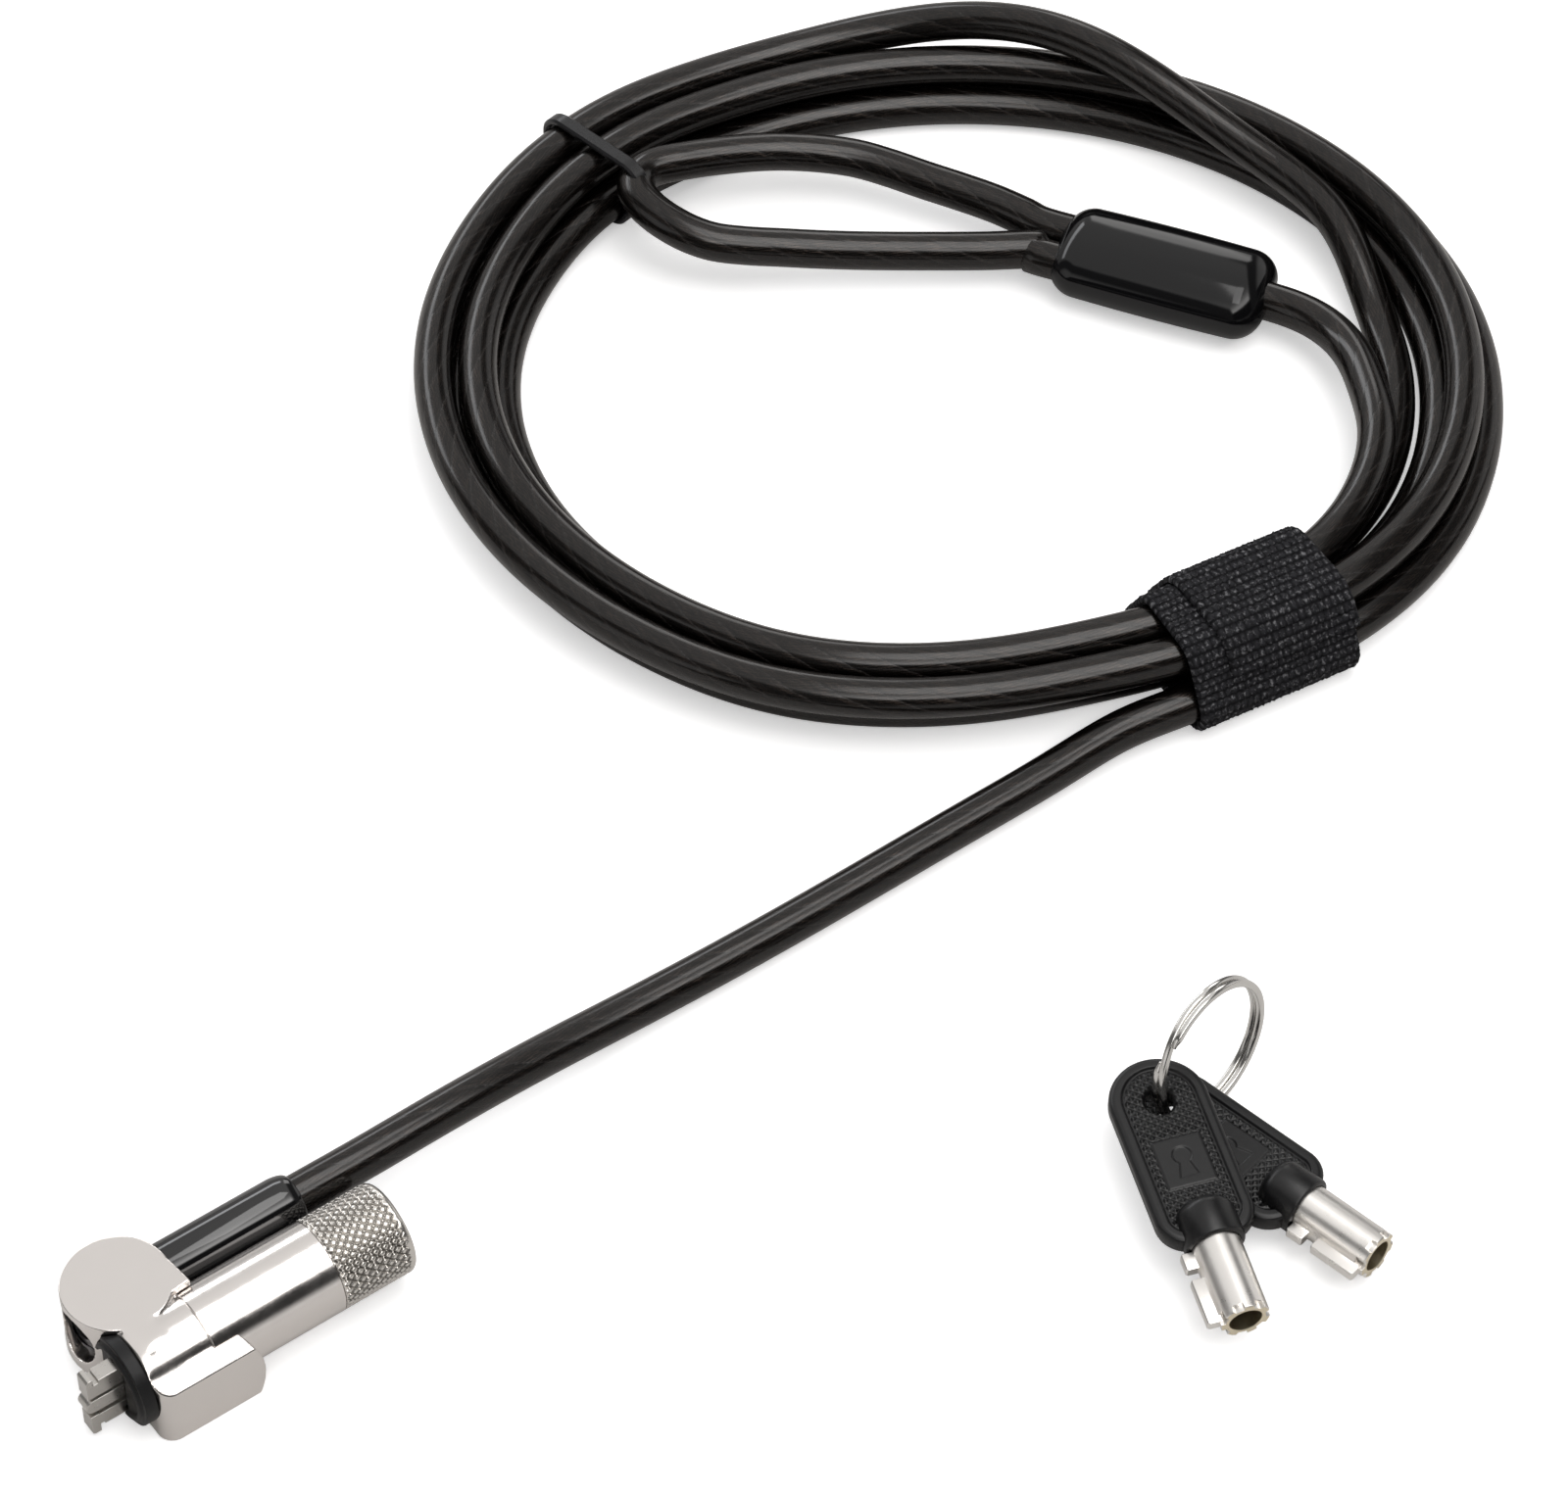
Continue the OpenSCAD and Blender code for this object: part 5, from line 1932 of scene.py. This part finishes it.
@dataclass
class Studio:
    """A white sweep under large soft lights, and the camera.

    Attributes:
        target: What the camera looks at.
        camera: Where it stands.
        lens: Its focal length in millimetres.
        middle: What the lamps point at.
        flag_tip: Degrees from upright to the front between which a flag is dark.
        flag_side: Shares of the way to the sides between which two flags are dark.
        box_tip: Degrees between which the main soft box lies.
        box_side: Shares of the way to the sides between which it lies.
        far_x: Shares of the way to the right between which the far box lies.
        far_tip: Degrees between which it lies.
    """

    target: Point = (0.119, 0.0383, 0.0)
    camera: Point = (-0.1856, -0.3809, 0.6176)
    lens: float = 139.85
    middle: Point = (0.12, 0.04, 0.0)
    flag_tip: Ramp = (43.0, 47.0, 74.0, 90.0)
    flag_side: Ramp = (0.56, 0.62, 0.82, 0.9)
    box_tip: Ramp = (2.0, 34.0, 41.0, 45.0)
    box_side: Ramp = (-1.0, -0.9, 0.5, 0.58)
    far_x: Ramp = (0.54, 0.58, 0.7, 0.76)
    far_tip: Ramp = (-74.0, -70.0, -48.0, -44.0)

    def build(self) -> None:
        """Builds the camera, the lights and the floor."""
        self.build_camera()
        self.build_world()
        self.build_floor()
        self.build_lights()
        scene = bpy.context.scene
        scene.render.engine = "CYCLES"
        scene.cycles.samples = 192
        scene.cycles.use_denoising = True
        scene.cycles.max_bounces = 10
        scene.cycles.sample_clamp_indirect = 6.0
        scene.view_settings.view_transform = "Standard"
        scene.view_settings.look = "None"
        scene.render.resolution_x, scene.render.resolution_y = 1600, 1526
        scene.render.film_transparent = False

    def build_camera(self) -> None:
        """A long lens that looks down on the lock from the front left."""
        data = bpy.data.cameras.new("camera")
        data.lens, data.sensor_width = self.lens, 36.0
        data.clip_start, data.clip_end = 0.01, 20.0
        cam = link(bpy.data.objects.new("camera", data))
        cam.location = self.camera
        view = Vector(self.target) - Vector(self.camera)
        cam.rotation_euler = view.to_track_quat("-Z", "Y").to_euler()
        bpy.context.scene.camera = cam

    def build_world(self) -> None:
        """White to the camera, and a studio of soft boxes and dark flags to the object."""
        world = bpy.data.worlds.new("studio")
        bpy.context.scene.world = world
        world.use_nodes = True
        n = Nodes(world.node_tree)
        n.tree.nodes.clear()
        x, y, z = n.split(n.add("ShaderNodeTexCoord").outputs["Generated"])
        tip = n.math("ARCTAN2", n.math("MULTIPLY", y, -1.0), z)
        tip = n.math("MULTIPLY", tip, 180 / math.pi)
        side = n.math("ABSOLUTE", x)
        level = n.span(tip, -95.0, -30.0, 0.42, 0.78)
        level = self.patch(n, level, tip, self.flag_tip, 0.02)
        level = self.patch(n, level, side, self.flag_side, 0.1)
        box = n.math("POWER", self.window(n, tip, self.box_tip), 2.5)
        box = n.math("MULTIPLY", box, self.window(n, side, self.box_side))
        level = n.math("MULTIPLY_ADD", box, 3.2, level)
        far = n.math("MULTIPLY", self.window(n, x, self.far_x), self.window(n, tip, self.far_tip))
        level = n.math("MULTIPLY_ADD", far, 2.2, level)
        light = n.made("ShaderNodeBackground", Color=(1.0, 0.985, 0.97), Strength=level)
        white = n.made("ShaderNodeBackground", Color=(1.0, 1.0, 1.0))
        seen = n.add("ShaderNodeLightPath").outputs["Is Camera Ray"]
        pick = n.first(n.add("ShaderNodeMixShader"), seen, light, white)
        n.fill(n.add("ShaderNodeOutputWorld"), {"Surface": pick})

    def window(self, n: Nodes, value: Socket, ramp: Ramp) -> Socket:
        """1 between the ramp's middle values and 0 outside its end values."""
        rise = n.span(value, ramp[0], ramp[1], 0.0, 1.0)
        return n.math("MULTIPLY", rise, n.span(value, ramp[2], ramp[3], 1.0, 0.0))

    def patch(self, n: Nodes, level: Socket, value: Socket, ramp: Ramp, to: float) -> Socket:
        """A level that goes over to another one inside a window.

        Args:
            n: The builder of the tree.
            level: The level outside the window.
            value: What the window is measured on.
            ramp: Where the window starts and ends.
            to: The level inside the window.

        Returns:
            The new level.
        """
        inside = self.window(n, value, ramp)
        keep = n.math("MULTIPLY", level, n.math("SUBTRACT", 1.0, inside))
        return n.math("MULTIPLY_ADD", inside, to, keep)

    def build_floor(self) -> None:
        """A white floor that stays white to the camera and still takes soft shadows."""
        s = 1.6
        corners = [(-s, -s, 0), (s, -s, 0), (s, s, 0), (-s, s, 0)]
        floor = new_object("studio_floor", corners, [(0, 1, 2, 3)], Shade.FLAT)
        floor.location = (0.12, 0.04, -0.00002)
        material, n, shader = new_material("floor_white")
        seen = n.add("ShaderNodeLightPath").outputs["Is Camera Ray"]
        n.fill(shader, {
            "Base Color": n.mix(seen, (0.56, 0.55, 0.54), (0.94, 0.94, 0.945)),
            "Roughness": 0.65,
            "Specular IOR Level": 0.15,
        })
        glow = n.made("ShaderNodeEmission", Color=(1.0, 1.0, 1.0), Strength=0.42)
        dark = n.made("ShaderNodeEmission", Strength=0.0)
        pick = n.first(n.add("ShaderNodeMixShader"), seen, dark, glow)
        total = n.first(n.add("ShaderNodeAddShader"), shader.outputs[0], pick)
        out = next(x for x in n.tree.nodes if x.type == "OUTPUT_MATERIAL")
        n.put(out.inputs["Surface"], total)
        floor.data.materials.append(material)

    def build_lights(self) -> None:
        """A soft box overhead and a long strip behind."""
        for name, at, size, power, colour in (
            ("top_box", (0.25, -0.1, 1.1), (0.7, 0.5), 3.0, (1.0, 0.99, 0.98)),
            ("back_strip", (0.1, 0.95, 0.5), (1.0, 0.2), 2.0, (0.95, 0.97, 1.0)),
        ):
            data = bpy.data.lights.new(name, "AREA")
            data.shape = "RECTANGLE"
            data.size, data.size_y = size
            data.energy, data.color = power, colour
            lamp = link(bpy.data.objects.new(name, data))
            lamp.location = at
            aim = Vector(self.middle) - Vector(at)
            lamp.rotation_euler = aim.to_track_quat("-Z", "Y").to_euler()


def main() -> None:
    """Loads the frame and builds every piece on it."""
    logging.basicConfig(level=logging.INFO)
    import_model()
    build_wear_group()
    build_strands_group()
    build_weave_group()
    Studio().build()
    route = CoilRoute()
    crimp = Crimp()
    sleeve = crimp.build()
    strap = StrapBand(route).build()
    tie = TieBand(route).build()
    CableRun(route, crimp).build([sleeve, strap, tie])
    LockHead().build()
    LockBarrel().build()
    Key("key_a", (118.4, -41.9, 8.5), -109, 4).build()
    Key("key_b", (121.02, -41.88, 4.3), -77.7, 0).build()
    SplitRing().build()


if __name__ == "__main__":
    main()
